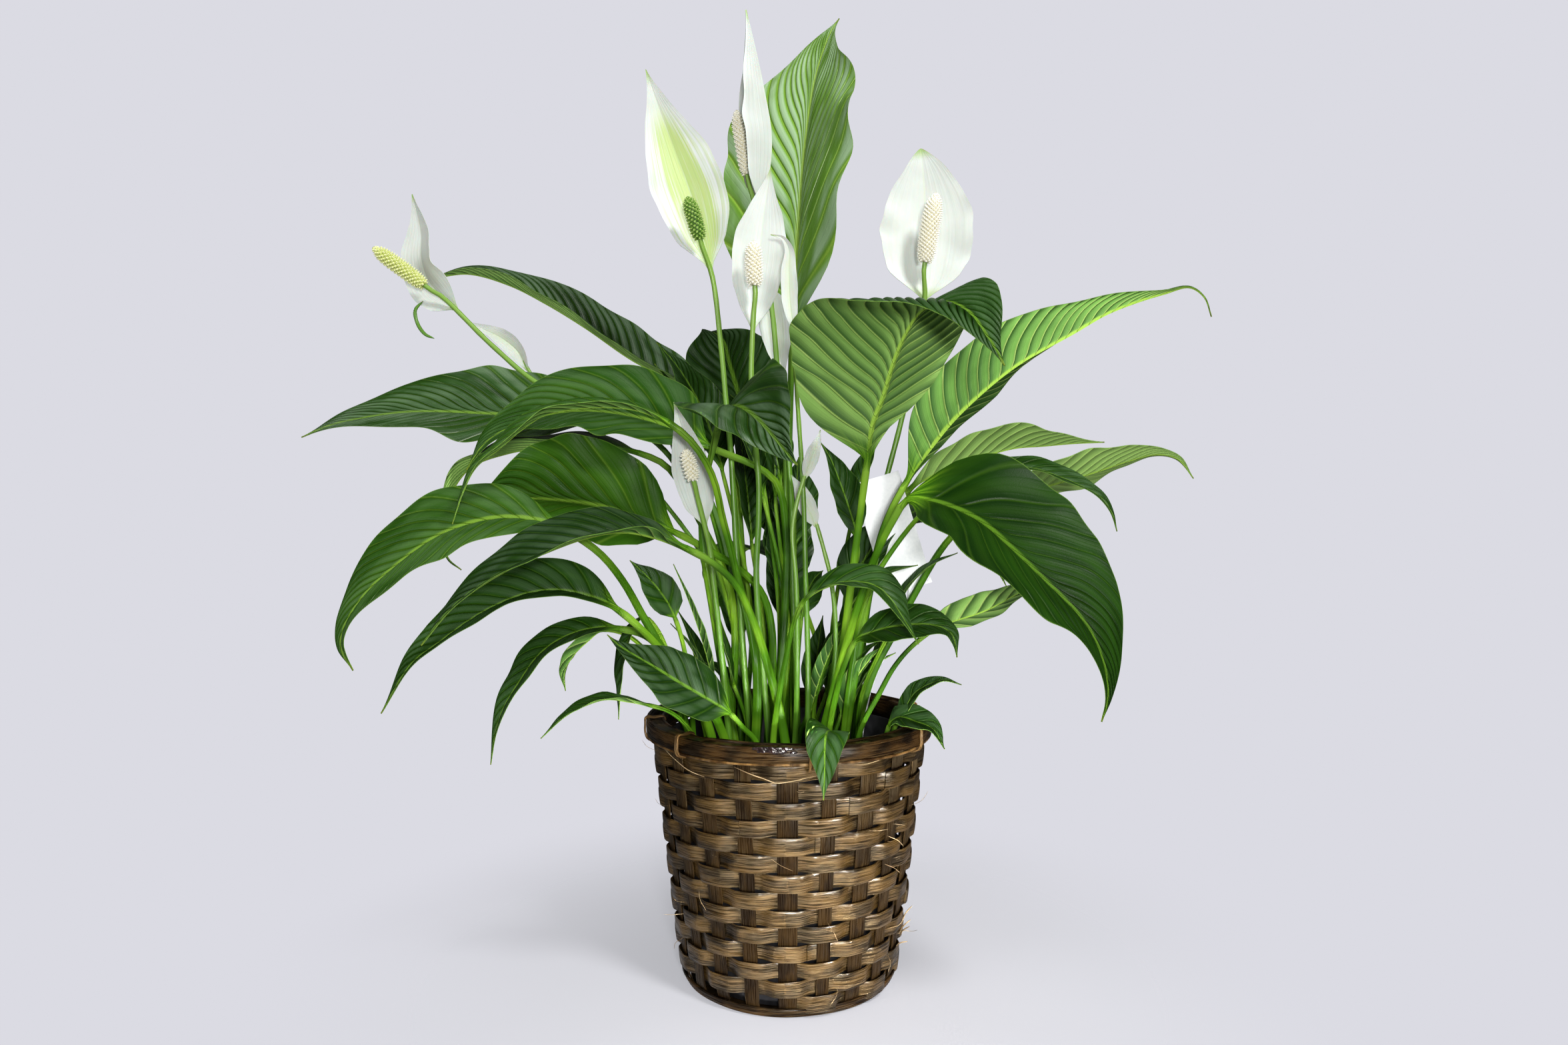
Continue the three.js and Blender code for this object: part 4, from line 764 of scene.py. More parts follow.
def blade_rings(places, ahead, faces, half_width, stem_radius, fold, curl, wave, shape, quilt, columns,
                vein_count, sweep, ruffle, seed, rib, thick=0.00025, skew=0.0):
    """The rings of a blade, round at its base and thin beyond it, with the marks for its finish. Each
    ring runs out along the side veins, which sweep on towards the tip, and the skin puffs up between
    them by the height of quilt. Shape is what blade_width takes."""
    t = np.linspace(-1, 1, columns)
    s = np.sign(t) * np.abs(t) ** 1.35
    s = np.concatenate([s, s[::-1]])[None]
    top = np.repeat([1.0, -1.0], columns)[None]
    across = np.abs(s)
    row = np.linspace(0, 1, len(places))[:, None]
    root = row + 0.006 * np.sin(row * math.tau * 4 + seed) * np.sin(row * math.pi)
    sweep = min(sweep, 0.42)
    course = 0.13 * np.tanh(across / 0.08) + 0.32 * across + 0.55 * across ** 2
    lead = sweep / (0.24 - 0.4 * sweep) * course
    share = root * (1 + lead) / (1 + root * lead)
    spot = np.minimum(share, 0.9999) * (len(places) - 1)
    i = spot.astype(int)
    part = (spot - i)[..., None]
    middle = places[i] * (1 - part) + places[i + 1] * part
    ways = ahead[i] * (1 - part) + ahead[i + 1] * part
    ways /= np.linalg.norm(ways, axis=2)[..., None]
    up = square_to(turning(faces, share.ravel()), ways.reshape(-1, 3)).reshape(ways.shape)
    side = np.cross(ways, up)
    neck = np.clip(1 - 6 * share, 0, 1) ** 2
    width = blade_width(share, *shape)
    swing = np.sin(share * 21 + s * 1.6 + seed) + 0.5 * np.sin(share * 39 - s * 2.2 + seed * 2)
    half = (half_width * width + 0.0004) * (1 + 0.6 * ruffle * swing * across ** 3)
    half *= 1 - skew * (s < 0) * np.clip(1.2 - 1.6 * share, 0, 1)
    veins = vein_count * row + 0.25 * (s > 0)
    height = half * (across * math.sin(fold) - curl * s ** 2)
    height += wave * s ** 2 * np.sin(share * 15 + s * 1.3) * np.sin(math.pi * share)
    height += ruffle * half * across ** 3 * np.cos(share * 25 + s * 2 + seed) * np.sin(math.pi * share)
    puffed = np.abs(np.sin(math.pi * veins)) ** 0.7 * np.minimum(across * 6, 1) * (1 - across ** 5)
    height += quilt * puffed * width ** 0.5
    ridge = np.exp(-(s * half / (rib * (1.1 - 0.7 * share))) ** 2)
    depth = np.where(top > 0, thick - 0.35 * rib * ridge * (1 - share),
                     -thick - ridge * rib * (0.9 - 0.7 * share))
    angles = math.pi - math.pi / (2 * columns) - np.arange(2 * columns) * math.pi / columns
    right = neck * stem_radius * np.cos(angles) + (1 - neck) * s * half * math.cos(fold)
    rise = neck * stem_radius * np.sin(angles) + (1 - neck) * (height + depth)
    rings = middle + side * right[..., None] + up * rise[..., None]
    marks = {"upper": top, "across": s, "along": share, "vein": veins, "rib": ridge, "blade": 1 - neck}
    return rings, marks


def blade_and_stem(name, spine, stem_count, faces, half_width, radii, tint, under=0.6, fold=0.3, wave=0.0,
                   widest=0.4, base=0.62, tip=1.6, vein_gap=0.0115, slant=1.5, ruffle=0.045, puff=1.0,
                   skew=0.0, sheen=0.04):
    """One leaf, petiole and blade in one skin. The first stem_count places of its spine are the
    petiole's, and radii are the petiole's at its foot and its top."""
    joint = stem_count / (len(spine) - 1)
    stem, stem_ahead, stem_run = stations(spine, 2 / (len(spine) - 1), joint, 30)
    stem = np.vstack([spine[0], stem])[:-1]
    stem_ahead = np.vstack([[0, 0, 1], stem_ahead])[:-1]
    length = stations(spine, joint, 1, 2)[2][-1]
    vein_count = round(length / vein_gap)
    rows = vein_count * (8 if half_width > 0.018 else 5) + 1
    blade, ahead, run = stations(spine, joint, 1, rows)
    columns = 2 * int(np.clip(half_width / 0.0036, 6, 15)) + 1
    seed = sum(map(ord, name)) % 17
    rings, marks = blade_rings(
        blade, ahead, faces, half_width, radii[1], fold=fold, curl=0.0, wave=wave, shape=(widest, base, tip),
        quilt=puff * min(0.0019, half_width * 0.04), columns=columns, vein_count=vein_count,
        sweep=slant * half_width / length, ruffle=ruffle, seed=seed,
        rib=min(0.0022, radii[1] * 0.85, half_width * 0.055), skew=skew)
    shares = np.concatenate([[0], np.linspace(0.25, 1, len(stem) - 1)])
    thickness = radii[0] + (radii[1] - radii[0]) * shares
    thickness *= 1 + 0.14 * np.exp(-((1 - shares) / 0.05) ** 2)
    low = round_rings(stem, stem_ahead, turning(faces, 0 * shares), thickness, 2 * columns)
    angles = math.pi - math.pi / (2 * columns) - np.arange(2 * columns) * math.pi / columns
    groove = 1 - 0.2 * np.exp(-((angles - math.pi / 2) / 0.5) ** 2)
    low = stem[:, None] + (low - stem[:, None]) * groove[:, None]
    rings = np.concatenate([low, rings])
    pad = np.zeros((len(stem), 2 * columns))
    every = {mark: np.vstack([pad, np.broadcast_to(values, (rows, 2 * columns))])
             for mark, values in marks.items()}
    every["upper"][:len(stem)] = np.sin(angles)
    every["run"] = np.concatenate([[0], stem_run[:-1], run + stem_run[-1]])[:, None]
    every["swell"] = np.concatenate([np.exp(-((1 - shares) / 0.06) ** 2), np.zeros(rows)])[:, None]
    return rolled_up(name, rings, {**every, "tint": tint, "under": under, "sheen": sheen})


def blade_finish(name):
    """Leaf skin: a glossy deep green face with sunken veins and a yellow-green midrib, a paler matt
    underside with raised ribs, and a bright green petiole. Painted shade lies beside each vein on the face
    and the underside, and a painted highlight and pale bands of painted reflection lie on the face's puffed
    fields."""
    finish = new_finish(name, (0.03, 0.12, 0.01), Roughness=0.32)
    tint, vein, across = mark(finish, "tint"), mark(finish, "vein"), mark(finish, "across")
    rib = ranged(finish, mark(finish, "rib"), 0.3, 0.65)
    upper = ranged(finish, mark(finish, "upper"), -0.3, 0.3)
    blade = mark(finish, "blade")
    spread = calc(finish, "ABSOLUTE", across)
    side = step(finish, "CombineXYZ", {0: mark(finish, "run"), 1: times(finish, across, 0.05), 2: tint})
    patches = streaks(finish, side, (18, 30, 9), 4)
    cells = noise(finish, own_place(finish), 1100, 2)
    saw = calc(finish, "PINGPONG", vein, 0.5)
    crease = ranged(finish, saw, 0.1, 0.0)
    # Painted shade: each field between side veins is darkest just beyond its vein and lightens towards the
    # next.
    painted_vein_shade = ranged(finish, calc(finish, "FRACT", vein), 0.05, 0.95, 1.0, 0.0)
    puffed = ranged(finish, saw, 0.05, 0.5)
    lesser = ranged(finish, calc(finish, "PINGPONG", times(finish, vein, 4), 0.5), 0.2, 0.0)
    blotch = times(finish, patches, 0.5)
    # A leaf's tint sets its face's tone and its under value its underside's. Per leaf these are partly its
    # own tone and partly painted shade, darker for leaves that stand in shade.
    tone = plus(finish, times(finish, tint, 0.6), blotch)
    face = ramp(finish, tone, [(0.2, (0.004, 0.02, 0.0015)), (0.42, (0.014, 0.06, 0.002)),
                               (0.62, (0.045, 0.13, 0.007)), (0.92, (0.15, 0.32, 0.03))])
    # Painted highlight: the face is paler on the crest of each puffed field between the veins.
    bright = mixed(finish, 0.35, face, (0.06, 0.16, 0.01))
    face = mixed(finish, times(finish, puffed, 0.35), face, bright)
    # Painted shade on the face, beside each vein.
    shaded = mixed(finish, 0.7, face, (0.004, 0.018, 0.002))
    face = mixed(finish, times(finish, painted_vein_shade, 0.35), face, shaded)
    face = mixed(finish, times(finish, lesser, 0.1), face, (0.003, 0.02, 0.002))
    lime = mixed(finish, tint, (0.1, 0.22, 0.015), (0.28, 0.46, 0.05))
    face = mixed(finish, times(finish, crease, ranged(finish, tint, 0, 1, 0.15, 0.6)), face, lime)
    # Painted reflection: pale bluish bands on the face's puffed fields, as strong as the leaf's own amount,
    # which also sets the real specular level below.
    sheen = times(finish, ranged(finish, patches, 0.35, 0.6), ranged(finish, saw, 0.08, 0.3))
    face = mixed(finish, times(finish, sheen, mark(finish, "sheen")), face, (0.48, 0.62, 0.5))
    face = mixed(finish, ranged(finish, mark(finish, "rib"), 0.2, 0.65, 0, 0.8), face, lime)
    pale = plus(finish, times(finish, mark(finish, "under"), 0.6), blotch)
    back = ramp(finish, pale, [(0.2, (0.05, 0.14, 0.025)), (0.5, (0.19, 0.42, 0.08)),
                               (0.9, (0.4, 0.67, 0.17))])
    # Painted shade on the underside, beside each vein, weaker on paler undersides.
    depth = ranged(finish, mark(finish, "under"), 0.95, 1.15, 0.97, 0.55)
    shaded = mixed(finish, 0.92, back, (0.01, 0.055, 0.009))
    back = mixed(finish, times(finish, painted_vein_shade, depth), back, shaded)
    back = mixed(finish, times(finish, lesser, 0.12), back, (0.2, 0.38, 0.08))
    back = mixed(finish, times(finish, crease, 0.9), back, (0.44, 0.64, 0.17))
    back = mixed(finish, times(finish, rib, 0.9), back, (0.36, 0.6, 0.07))
    sides = mixed(finish, upper, back, face)
    sides = mixed(finish, ranged(finish, spread, 0.985, 1.0, 0.0, 0.5), sides, (0.16, 0.3, 0.04))
    tip = ranged(finish, mark(finish, "along"), 0.97, 1.0, 0.0, 0.75)
    sides = mixed(finish, tip, sides, (0.16, 0.2, 0.02))
    fibre = streaks(finish, side, (14, 160, 5), 3)
    stem = ramp(finish, fibre, [(0.3, (0.012, 0.05, 0.002)), (0.5, (0.055, 0.17, 0.005)),
                                (0.68, (0.2, 0.4, 0.02))])
    stem = mixed(finish, times(finish, mark(finish, "swell"), 0.5), stem, (0.24, 0.42, 0.05))
    drive(finish, "Base Color", mixed(finish, ranged(finish, blade, 0.2, 0.95), stem, sides))
    gloss = ranged(finish, upper, 0, 1, 0.52, 0.34)
    drive(finish, "Roughness", plus(finish, gloss, ranged(finish, patches, 0.3, 0.7, -0.04, 0.1)))
    drive(finish, "Specular IOR Level", ranged(finish, mark(finish, "sheen"), 0.0, 0.12, 0.06, 0.32))
    fine = plus(finish, times(finish, lesser, -0.14), times(finish, crease, -0.8))
    sunk = times(finish, fine, ranged(finish, upper, 0, 1, -1, 1))
    relief = plus(finish, sunk, times(finish, cells, 0.12))
    raise_grain(finish, relief, 0.0006)
    return finish


def leaf(name, foot, stem, blade, half_width, face, tint, radii=(0.0042, 0.0026), **shape):
    """One long leaf, from its foot in the soil through its stem's places to those of its blade."""
    spine = np.vstack([foot_points(foot), seen_at([*stem, *blade])])
    piece = blade_and_stem(name + "_looks", spine, 3 + len(stem), face, half_width, radii, tint, **shape)
    dress(piece, leaf_green, "leaf", name)


leaf_green = blade_finish("leaf_green")
leaf("leaf_top", foot=(0.002, 0.036),
     stem=[(0.002, 0.31, 0.045), (0, 0.42, 0.045), (0.002, 0.5, 0.044)],
     blade=[(0.003, 0.533, 0.043), (0.007, 0.6, 0.05), (0.012, 0.67, 0.075), (0.021, 0.734, 0.105),
            (0.032, 0.769, 0.125), (0.041, 0.786, 0.138)],
     tint=1.0, slant=2.2, vein_gap=0.015, ruffle=0.08, base=0.45, sheen=0.42, half_width=0.072, fold=0.4,
     wave=0.003, widest=0.52,
     face=[(-0.62, -0.78, 0.1), (-0.5, -0.8, 0.3)])
leaf("leaf_upper_left", foot=(-0.014, 0.052),
     stem=[(-0.035, 0.31, 0.06), (-0.044, 0.41, 0.072), (-0.053, 0.454, 0.076)],
     blade=[(-0.066, 0.476, 0.08), (-0.129, 0.509, 0.1), (-0.167, 0.535, 0.105), (-0.2, 0.555, 0.108),
            (-0.23, 0.57, 0.105), (-0.263, 0.579, 0.095), (-0.291, 0.576, 0.084)],
     tint=0.1, sheen=0.1, half_width=0.036, fold=0.5, tip=0.8,
     face=[(0.1, -0.35, 0.93), (0.1, -0.3, 0.95), (-0.3, -0.3, 0.9)])
leaf("leaf_far_left", foot=(-0.04, 0.028),
     stem=[(-0.046, 0.321, 0.032), (-0.068, 0.399, 0.042), (-0.096, 0.443, 0.045),
           (-0.123, 0.454, 0.046)],
     blade=[(-0.156, 0.459, 0.046), (-0.195, 0.463, 0.046), (-0.242, 0.464, 0.044), (-0.289, 0.466, 0.04),
            (-0.322, 0.465, 0.035), (-0.355, 0.46, 0.028), (-0.377, 0.455, 0.02), (-0.403, 0.445, 0.01)],
     tint=0.3, sheen=0.12, half_width=0.051, fold=0.25, wave=0.002, widest=0.36,
     face=[(0, -0.66, 0.75)])
leaf("leaf_left_high", foot=(-0.012, -0.012),
     stem=[(-0.002, 0.366, -0.02), (-0.01, 0.407, -0.022), (-0.027, 0.421, -0.025),
           (-0.046, 0.429, -0.025)],
     blade=[(-0.066, 0.437, -0.02), (-0.101, 0.454, -0.015), (-0.14, 0.464, -0.01),
            (-0.178, 0.466, -0.012), (-0.217, 0.458, -0.02), (-0.248, 0.442, -0.032),
            (-0.267, 0.418, -0.042)],
     tint=0.3, half_width=0.052,
     face=[(0.1, -0.62, 0.77), (0, -0.6, 0.8), (-0.4, -0.6, 0.7)])
leaf("leaf_left_arched", foot=(-0.028, -0.048),
     stem=[(-0.027, 0.254, -0.052), (-0.042, 0.327, -0.06), (-0.055, 0.379, -0.072),
           (-0.063, 0.413, -0.08), (-0.079, 0.44, -0.088)],
     blade=[(-0.099, 0.457, -0.092), (-0.123, 0.467, -0.096), (-0.156, 0.47, -0.102),
            (-0.2, 0.464, -0.112), (-0.22, 0.452, -0.118), (-0.239, 0.436, -0.124), (-0.259, 0.42, -0.13),
            (-0.27, 0.399, -0.134), (-0.279, 0.373, -0.136)],
     tint=0.35, half_width=0.017, fold=0.35,
     face=[(-0.1, -0.2, 0.95), (-0.2, -0.2, 0.95), (-0.7, -0.4, 0.5)])
leaf("leaf_left_shaded", foot=(-0.052, 0.008),
     stem=[(-0.047, 0.31, 0), (-0.077, 0.382, 0.005), (-0.101, 0.421, 0.01)],
     blade=[(-0.124, 0.432, 0.012), (-0.157, 0.438, 0.014), (-0.195, 0.438, 0.015),
            (-0.234, 0.432, 0.014), (-0.264, 0.42, 0.01), (-0.281, 0.396, 0.004), (-0.287, 0.366, 0),
            (-0.283, 0.345, -0.002), (-0.272, 0.335, -0.004)],
     tint=0.1, half_width=0.046, fold=0.2,
     face=[(-0.1, -0.1, 1), (-0.3, -0.1, 1), (-0.9, -0.2, 0.3), (-0.9, -0.3, -0.2)])
leaf("leaf_left_broad", foot=(-0.018, 0),
     stem=[(-0.014, 0.283, 0), (-0.022, 0.315, -0.002), (-0.04, 0.335, -0.003), (-0.069, 0.353, -0.012)],
     blade=[(-0.096, 0.367, -0.024), (-0.124, 0.377, -0.03), (-0.157, 0.388, -0.035),
            (-0.212, 0.394, -0.042), (-0.24, 0.392, -0.047), (-0.265, 0.383, -0.054)],
     tint=0.38, sheen=0.0, half_width=0.053, fold=0.5, widest=0.55,
     face=[(0.05, -0.85, 0.5)])
leaf("leaf_left_long", foot=(-0.058, -0.034),
     stem=[(-0.069, 0.21, -0.045), (-0.102, 0.263, -0.062), (-0.121, 0.296, -0.07),
           (-0.138, 0.326, -0.082), (-0.157, 0.349, -0.09)],
     blade=[(-0.185, 0.368, -0.098), (-0.212, 0.377, -0.104), (-0.245, 0.378, -0.11),
            (-0.29, 0.364, -0.118), (-0.334, 0.332, -0.128), (-0.354, 0.312, -0.132),
            (-0.369, 0.288, -0.136), (-0.372, 0.271, -0.138), (-0.363, 0.251, -0.14)],
     tint=0.38, base=1.1, half_width=0.04, fold=0.25, widest=0.42,
     face=[(-0.1, -0.62, 0.77), (-0.3, -0.62, 0.7), (-0.6, -0.6, 0.4)])
leaf("leaf_left_dark", foot=(0, -0.06),
     stem=[(-0.005, 0.204, -0.062), (-0.018, 0.257, -0.068), (-0.031, 0.296, -0.078),
           (-0.044, 0.323, -0.087), (-0.063, 0.341, -0.097)],
     blade=[(-0.085, 0.353, -0.105), (-0.113, 0.363, -0.115), (-0.138, 0.367, -0.128),
            (-0.168, 0.362, -0.141), (-0.201, 0.35, -0.152), (-0.232, 0.336, -0.159),
            (-0.26, 0.319, -0.164), (-0.282, 0.301, -0.168), (-0.306, 0.272, -0.172)],
     tint=-0.12, under=0.3, half_width=0.03, fold=0.4,
     face=[(-0.1, -0.35, 0.93), (-0.25, -0.4, 0.88), (-0.5, -0.5, 0.7)])
leaf("leaf_left_low", foot=(-0.042, -0.05),
     stem=[(-0.069, 0.227, -0.072), (-0.099, 0.26, -0.08), (-0.119, 0.282, -0.086)],
     blade=[(-0.141, 0.301, -0.094), (-0.166, 0.313, -0.102), (-0.191, 0.318, -0.108),
            (-0.218, 0.315, -0.115), (-0.246, 0.304, -0.122), (-0.268, 0.291, -0.128),
            (-0.291, 0.274, -0.134), (-0.313, 0.257, -0.138), (-0.34, 0.215, -0.142)],
     tint=0.15, under=0.4, half_width=0.028, fold=0.5, widest=0.38,
     face=[(-0.1, -0.55, 0.83), (-0.3, -0.55, 0.75)])
leaf("leaf_left_drooping", foot=(-0.064, -0.016),
     stem=[(-0.074, 0.221, -0.04), (-0.102, 0.263, -0.05), (-0.119, 0.28, -0.054)],
     blade=[(-0.141, 0.286, -0.06), (-0.166, 0.286, -0.066), (-0.191, 0.277, -0.074),
            (-0.209, 0.263, -0.08), (-0.224, 0.242, -0.086), (-0.237, 0.221, -0.09),
            (-0.244, 0.201, -0.092), (-0.249, 0.172, -0.094)],
     tint=0.2, half_width=0.017, widest=0.42,
     face=[(-0.2, -0.5, 0.85), (-0.7, -0.6, 0.5), (-0.8, -0.6, 0)])
leaf("leaf_left_narrow", foot=(-0.066, -0.04),
     stem=[(-0.079, 0.196, -0.062), (-0.091, 0.211, -0.066), (-0.102, 0.218, -0.07)],
     blade=[(-0.116, 0.222, -0.075), (-0.133, 0.225, -0.082), (-0.152, 0.227, -0.09),
            (-0.169, 0.222, -0.097), (-0.186, 0.213, -0.104), (-0.207, 0.194, -0.115)],
     tint=0.2, half_width=0.013, fold=0.25, radii=(0.0026, 0.0016),
     face=[(-0.2, -0.1, 0.98), (-0.5, -0.2, 0.85)])
leaf("leaf_front_glossy", foot=(-0.03, -0.072),
     stem=[(-0.027, 0.19, -0.075), (-0.038, 0.203, -0.08)],
     blade=[(-0.049, 0.215, -0.086), (-0.069, 0.228, -0.095), (-0.091, 0.241, -0.104),
            (-0.11, 0.253, -0.112), (-0.141, 0.272, -0.126), (-0.151, 0.281, -0.13)],
     tint=-0.06, sheen=0.05, half_width=0.022, fold=0.15, radii=(0.0028, 0.0018),
     face=[(-0.3, -0.7, 0.65), (-0.3, -0.75, 0.55)])
leaf("leaf_front_folded", foot=(-0.042, -0.02),
     stem=[(-0.06, 0.283, -0.022), (-0.072, 0.366, -0.026), (-0.069, 0.41, -0.03),
           (-0.062, 0.439, -0.036)],
     blade=[(-0.057, 0.457, -0.049), (-0.05, 0.468, -0.066), (-0.041, 0.47, -0.086),
            (-0.028, 0.462, -0.103), (-0.013, 0.446, -0.12), (-0.002, 0.433, -0.131),
            (0.007, 0.422, -0.138)],
     tint=0.15, under=0.35, sheen=0.12, half_width=0.046, fold=0.45, widest=0.25, tip=1.3,
     face=[(-0.2, -0.2, 0.95), (-0.27, -0.45, 0.85), (-0.3, -0.6, 0.7), (-0.5, -0.85, 0.1)])
leaf("leaf_back", foot=(0.006, 0.064),
     stem=[(0.004, 0.31, 0.08), (-0.008, 0.41, 0.092)],
     blade=[(-0.031, 0.448, 0.1), (-0.041, 0.479, 0.12), (-0.049, 0.506, 0.142), (-0.054, 0.524, 0.166),
            (-0.065, 0.531, 0.19), (-0.076, 0.525, 0.21)],
     tint=0.05, half_width=0.044,
     face=[(-0.2, -0.75, 0.6), (-0.2, -0.3, 0.9), (0, 0.2, 1)])
leaf("leaf_right_round", foot=(0.03, -0.038),
     stem=[(0.031, 0.193, -0.045), (0.043, 0.254, -0.052), (0.05, 0.31, -0.058), (0.06, 0.388, -0.066)],
     blade=[(0.065, 0.426, -0.072), (0.069, 0.454, -0.082), (0.078, 0.479, -0.095), (0.086, 0.506, -0.11),
            (0.096, 0.53, -0.128), (0.11, 0.55, -0.15), (0.13, 0.556, -0.17), (0.149, 0.547, -0.186),
            (0.165, 0.525, -0.197), (0.178, 0.504, -0.203)],
     tint=0.12, under=0.9, vein_gap=0.009, slant=0.75, tip=1.5, skew=0.75, base=0.5, puff=1.7,
     half_width=0.077, fold=0.2, widest=0.38,
     face=[(0, 1, 0.3), (0, 1, 0.35), (-0.1, 0.8, 0.55), (-0.1, -0.15, 1), (0.15, -0.75, 0.65),
           (0.3, -0.85, 0.4)])
leaf("leaf_right_high", foot=(0.044, -0.008),
     stem=[(0.056, 0.254, -0.015), (0.069, 0.332, -0.018), (0.08, 0.374, -0.02)],
     blade=[(0.098, 0.409, -0.024), (0.119, 0.438, -0.026), (0.141, 0.464, -0.028),
            (0.185, 0.502, -0.026), (0.235, 0.531, -0.016), (0.261, 0.546, -0.008),
            (0.286, 0.556, -0.002), (0.309, 0.563, 0.004), (0.33, 0.568, 0.008), (0.342, 0.56, 0.01),
            (0.348, 0.544, 0.01)],
     tint=0.15, under=0.3, slant=1.3, vein_gap=0.011, tip=2.4, puff=2.0, half_width=0.038, fold=0.75,
     widest=0.3,
     face=[(-0.3, 0.85, 0.4), (-0.3, 0.85, 0.4), (-0.2, 0.5, 0.7), (0.2, -0.6, 0.8)])
leaf("leaf_right_arch", foot=(0.056, 0.024),
     stem=[(0.066, 0.31, 0.022), (0.081, 0.366, 0.022)],
     blade=[(0.1, 0.402, 0.025), (0.119, 0.414, 0.028), (0.141, 0.423, 0.031), (0.185, 0.436, 0.035),
            (0.21, 0.438, 0.036), (0.235, 0.44, 0.035), (0.261, 0.441, 0.032)],
     tint=0.3, under=1.15, puff=0.6, half_width=0.031, fold=0.45, widest=0.45,
     face=[(-0.2, 0.3, 0.93), (0, 0.3, 0.93)])
leaf("leaf_right_pale", foot=(0.058, 0),
     stem=[(0.059, 0.21, 0), (0.07, 0.249, 0), (0.087, 0.282, -0.002), (0.1, 0.307, -0.004),
           (0.127, 0.353, -0.006), (0.144, 0.372, -0.005)],
     blade=[(0.169, 0.39, -0.002), (0.197, 0.4, 0), (0.252, 0.416, 0.004), (0.279, 0.425, 0.006),
            (0.304, 0.431, 0.008), (0.322, 0.427, 0.009), (0.335, 0.411, 0.009)],
     tint=0.35, under=1.2, puff=0.8, half_width=0.032, fold=0.15,
     face=[(-0.1, 0.5, 0.86), (0, 0.5, 0.86), (0.3, 0.1, 0.9)])
leaf("leaf_right_dark", foot=(0.042, -0.024),
     stem=[(0.064, 0.31, -0.03), (0.092, 0.36, -0.034), (0.125, 0.396, -0.036)],
     blade=[(0.152, 0.413, -0.038), (0.177, 0.42, -0.042), (0.202, 0.419, -0.048), (0.224, 0.412, -0.054),
            (0.243, 0.404, -0.06), (0.257, 0.396, -0.066), (0.267, 0.383, -0.07), (0.272, 0.367, -0.073)],
     tint=0.15, half_width=0.016, radii=(0.003, 0.0018),
     face=[(0, -0.3, 0.95), (0.4, -0.5, 0.7)])
leaf("leaf_right_front", foot=(0.018, -0.062),
     stem=[(0.028, 0.196, -0.066), (0.043, 0.254, -0.074), (0.059, 0.31, -0.084), (0.073, 0.349, -0.092),
           (0.085, 0.374, -0.098)],
     blade=[(0.098, 0.393, -0.104), (0.119, 0.392, -0.112), (0.141, 0.385, -0.122), (0.161, 0.374, -0.13),
            (0.186, 0.352, -0.142), (0.215, 0.324, -0.154), (0.239, 0.3, -0.162), (0.253, 0.28, -0.168),
            (0.263, 0.252, -0.172), (0.265, 0.228, -0.172), (0.261, 0.208, -0.17)],
     tint=0.0, vein_gap=0.014, base=0.42, puff=0.6, sheen=0.0, half_width=0.056, fold=0.4, wave=0.002,
     widest=0.36,
     face=[(0.25, -0.75, 0.6), (0.3, -0.75, 0.55), (0.6, -0.75, 0.2)])
leaf("leaf_right_narrow", foot=(0.054, -0.044),
     stem=[(0.059, 0.199, -0.058), (0.076, 0.233, -0.066), (0.087, 0.253, -0.072), (0.1, 0.269, -0.078)],
     blade=[(0.117, 0.283, -0.086), (0.133, 0.291, -0.09), (0.163, 0.301, -0.098), (0.197, 0.319, -0.105),
            (0.217, 0.327, -0.107)],
     tint=0.3, under=0.8, half_width=0.017, fold=0.25, radii=(0.0028, 0.0017),
     face=[(-0.2, 0.75, 0.6)])
leaf("leaf_front_arch", foot=(-0.012, -0.072),
     stem=[(-0.013, 0.192, -0.075), (-0.008, 0.232, -0.08), (-0.002, 0.263, -0.085),
           (0.004, 0.291, -0.094)],
     blade=[(0.013, 0.31, -0.105), (0.031, 0.321, -0.115), (0.053, 0.325, -0.125), (0.073, 0.321, -0.133),
            (0.085, 0.31, -0.138), (0.095, 0.294, -0.142), (0.108, 0.273, -0.145)],
     tint=0.2, half_width=0.021, radii=(0.0028, 0.0018),
     face=[(0, -0.4, 0.9), (0.2, -0.4, 0.9), (0.7, -0.5, 0.5)])
leaf("leaf_front_low", foot=(0.036, -0.064),
     stem=[(0.034, 0.199, -0.072), (0.041, 0.238, -0.08), (0.048, 0.26, -0.086)],
     blade=[(0.056, 0.276, -0.09), (0.075, 0.285, -0.098), (0.098, 0.289, -0.106), (0.12, 0.289, -0.112),
            (0.134, 0.283, -0.116), (0.138, 0.274, -0.118), (0.14, 0.262, -0.119)],
     tint=0.2, half_width=0.019, fold=0.2, widest=0.45, radii=(0.0028, 0.0018),
     face=[(0, -0.6, 0.8), (0.5, -0.6, 0.6)])


# Young crowns. At the side, by the rim and behind, a few small leaves come up from one short stem.
YOUNG_TINT = 0.08


def crown(name, foot, leaves):
    """A short stem and its young leaves, each given as its stem, blade, half width and face."""
    core = [(*foot, SOIL_TOP + z) for z in (-ROOT_DEPTH, -0.01, 0.004, 0.0123)]
    places, ahead, run = stations(core, 0, 1, 12)
    rings = round_rings(places, ahead, np.array([0, -1, 0.1]), np.linspace(0.005, 0.0036, 12), 26)
    stub = dict.fromkeys(["upper", "across", "along", "vein", "rib", "blade", "swell", "sheen"], 0.0)
    pieces = [rolled_up("core", rings, {**stub, "tint": 0.6, "under": 0.6, "run": run[:, None]})]
    for number, (stem, blade, half_width, face) in enumerate(leaves):
        spine = np.vstack([foot_points(foot), seen_at([*stem, *blade])])
        pieces.append(blade_and_stem(f"{name}_{number}", spine, 3 + len(stem), face, half_width,
                                     (0.0026, 0.0017), YOUNG_TINT, under=0.25))
    dress(joined(name + "_looks", pieces), leaf_green, "young_leaf", name)


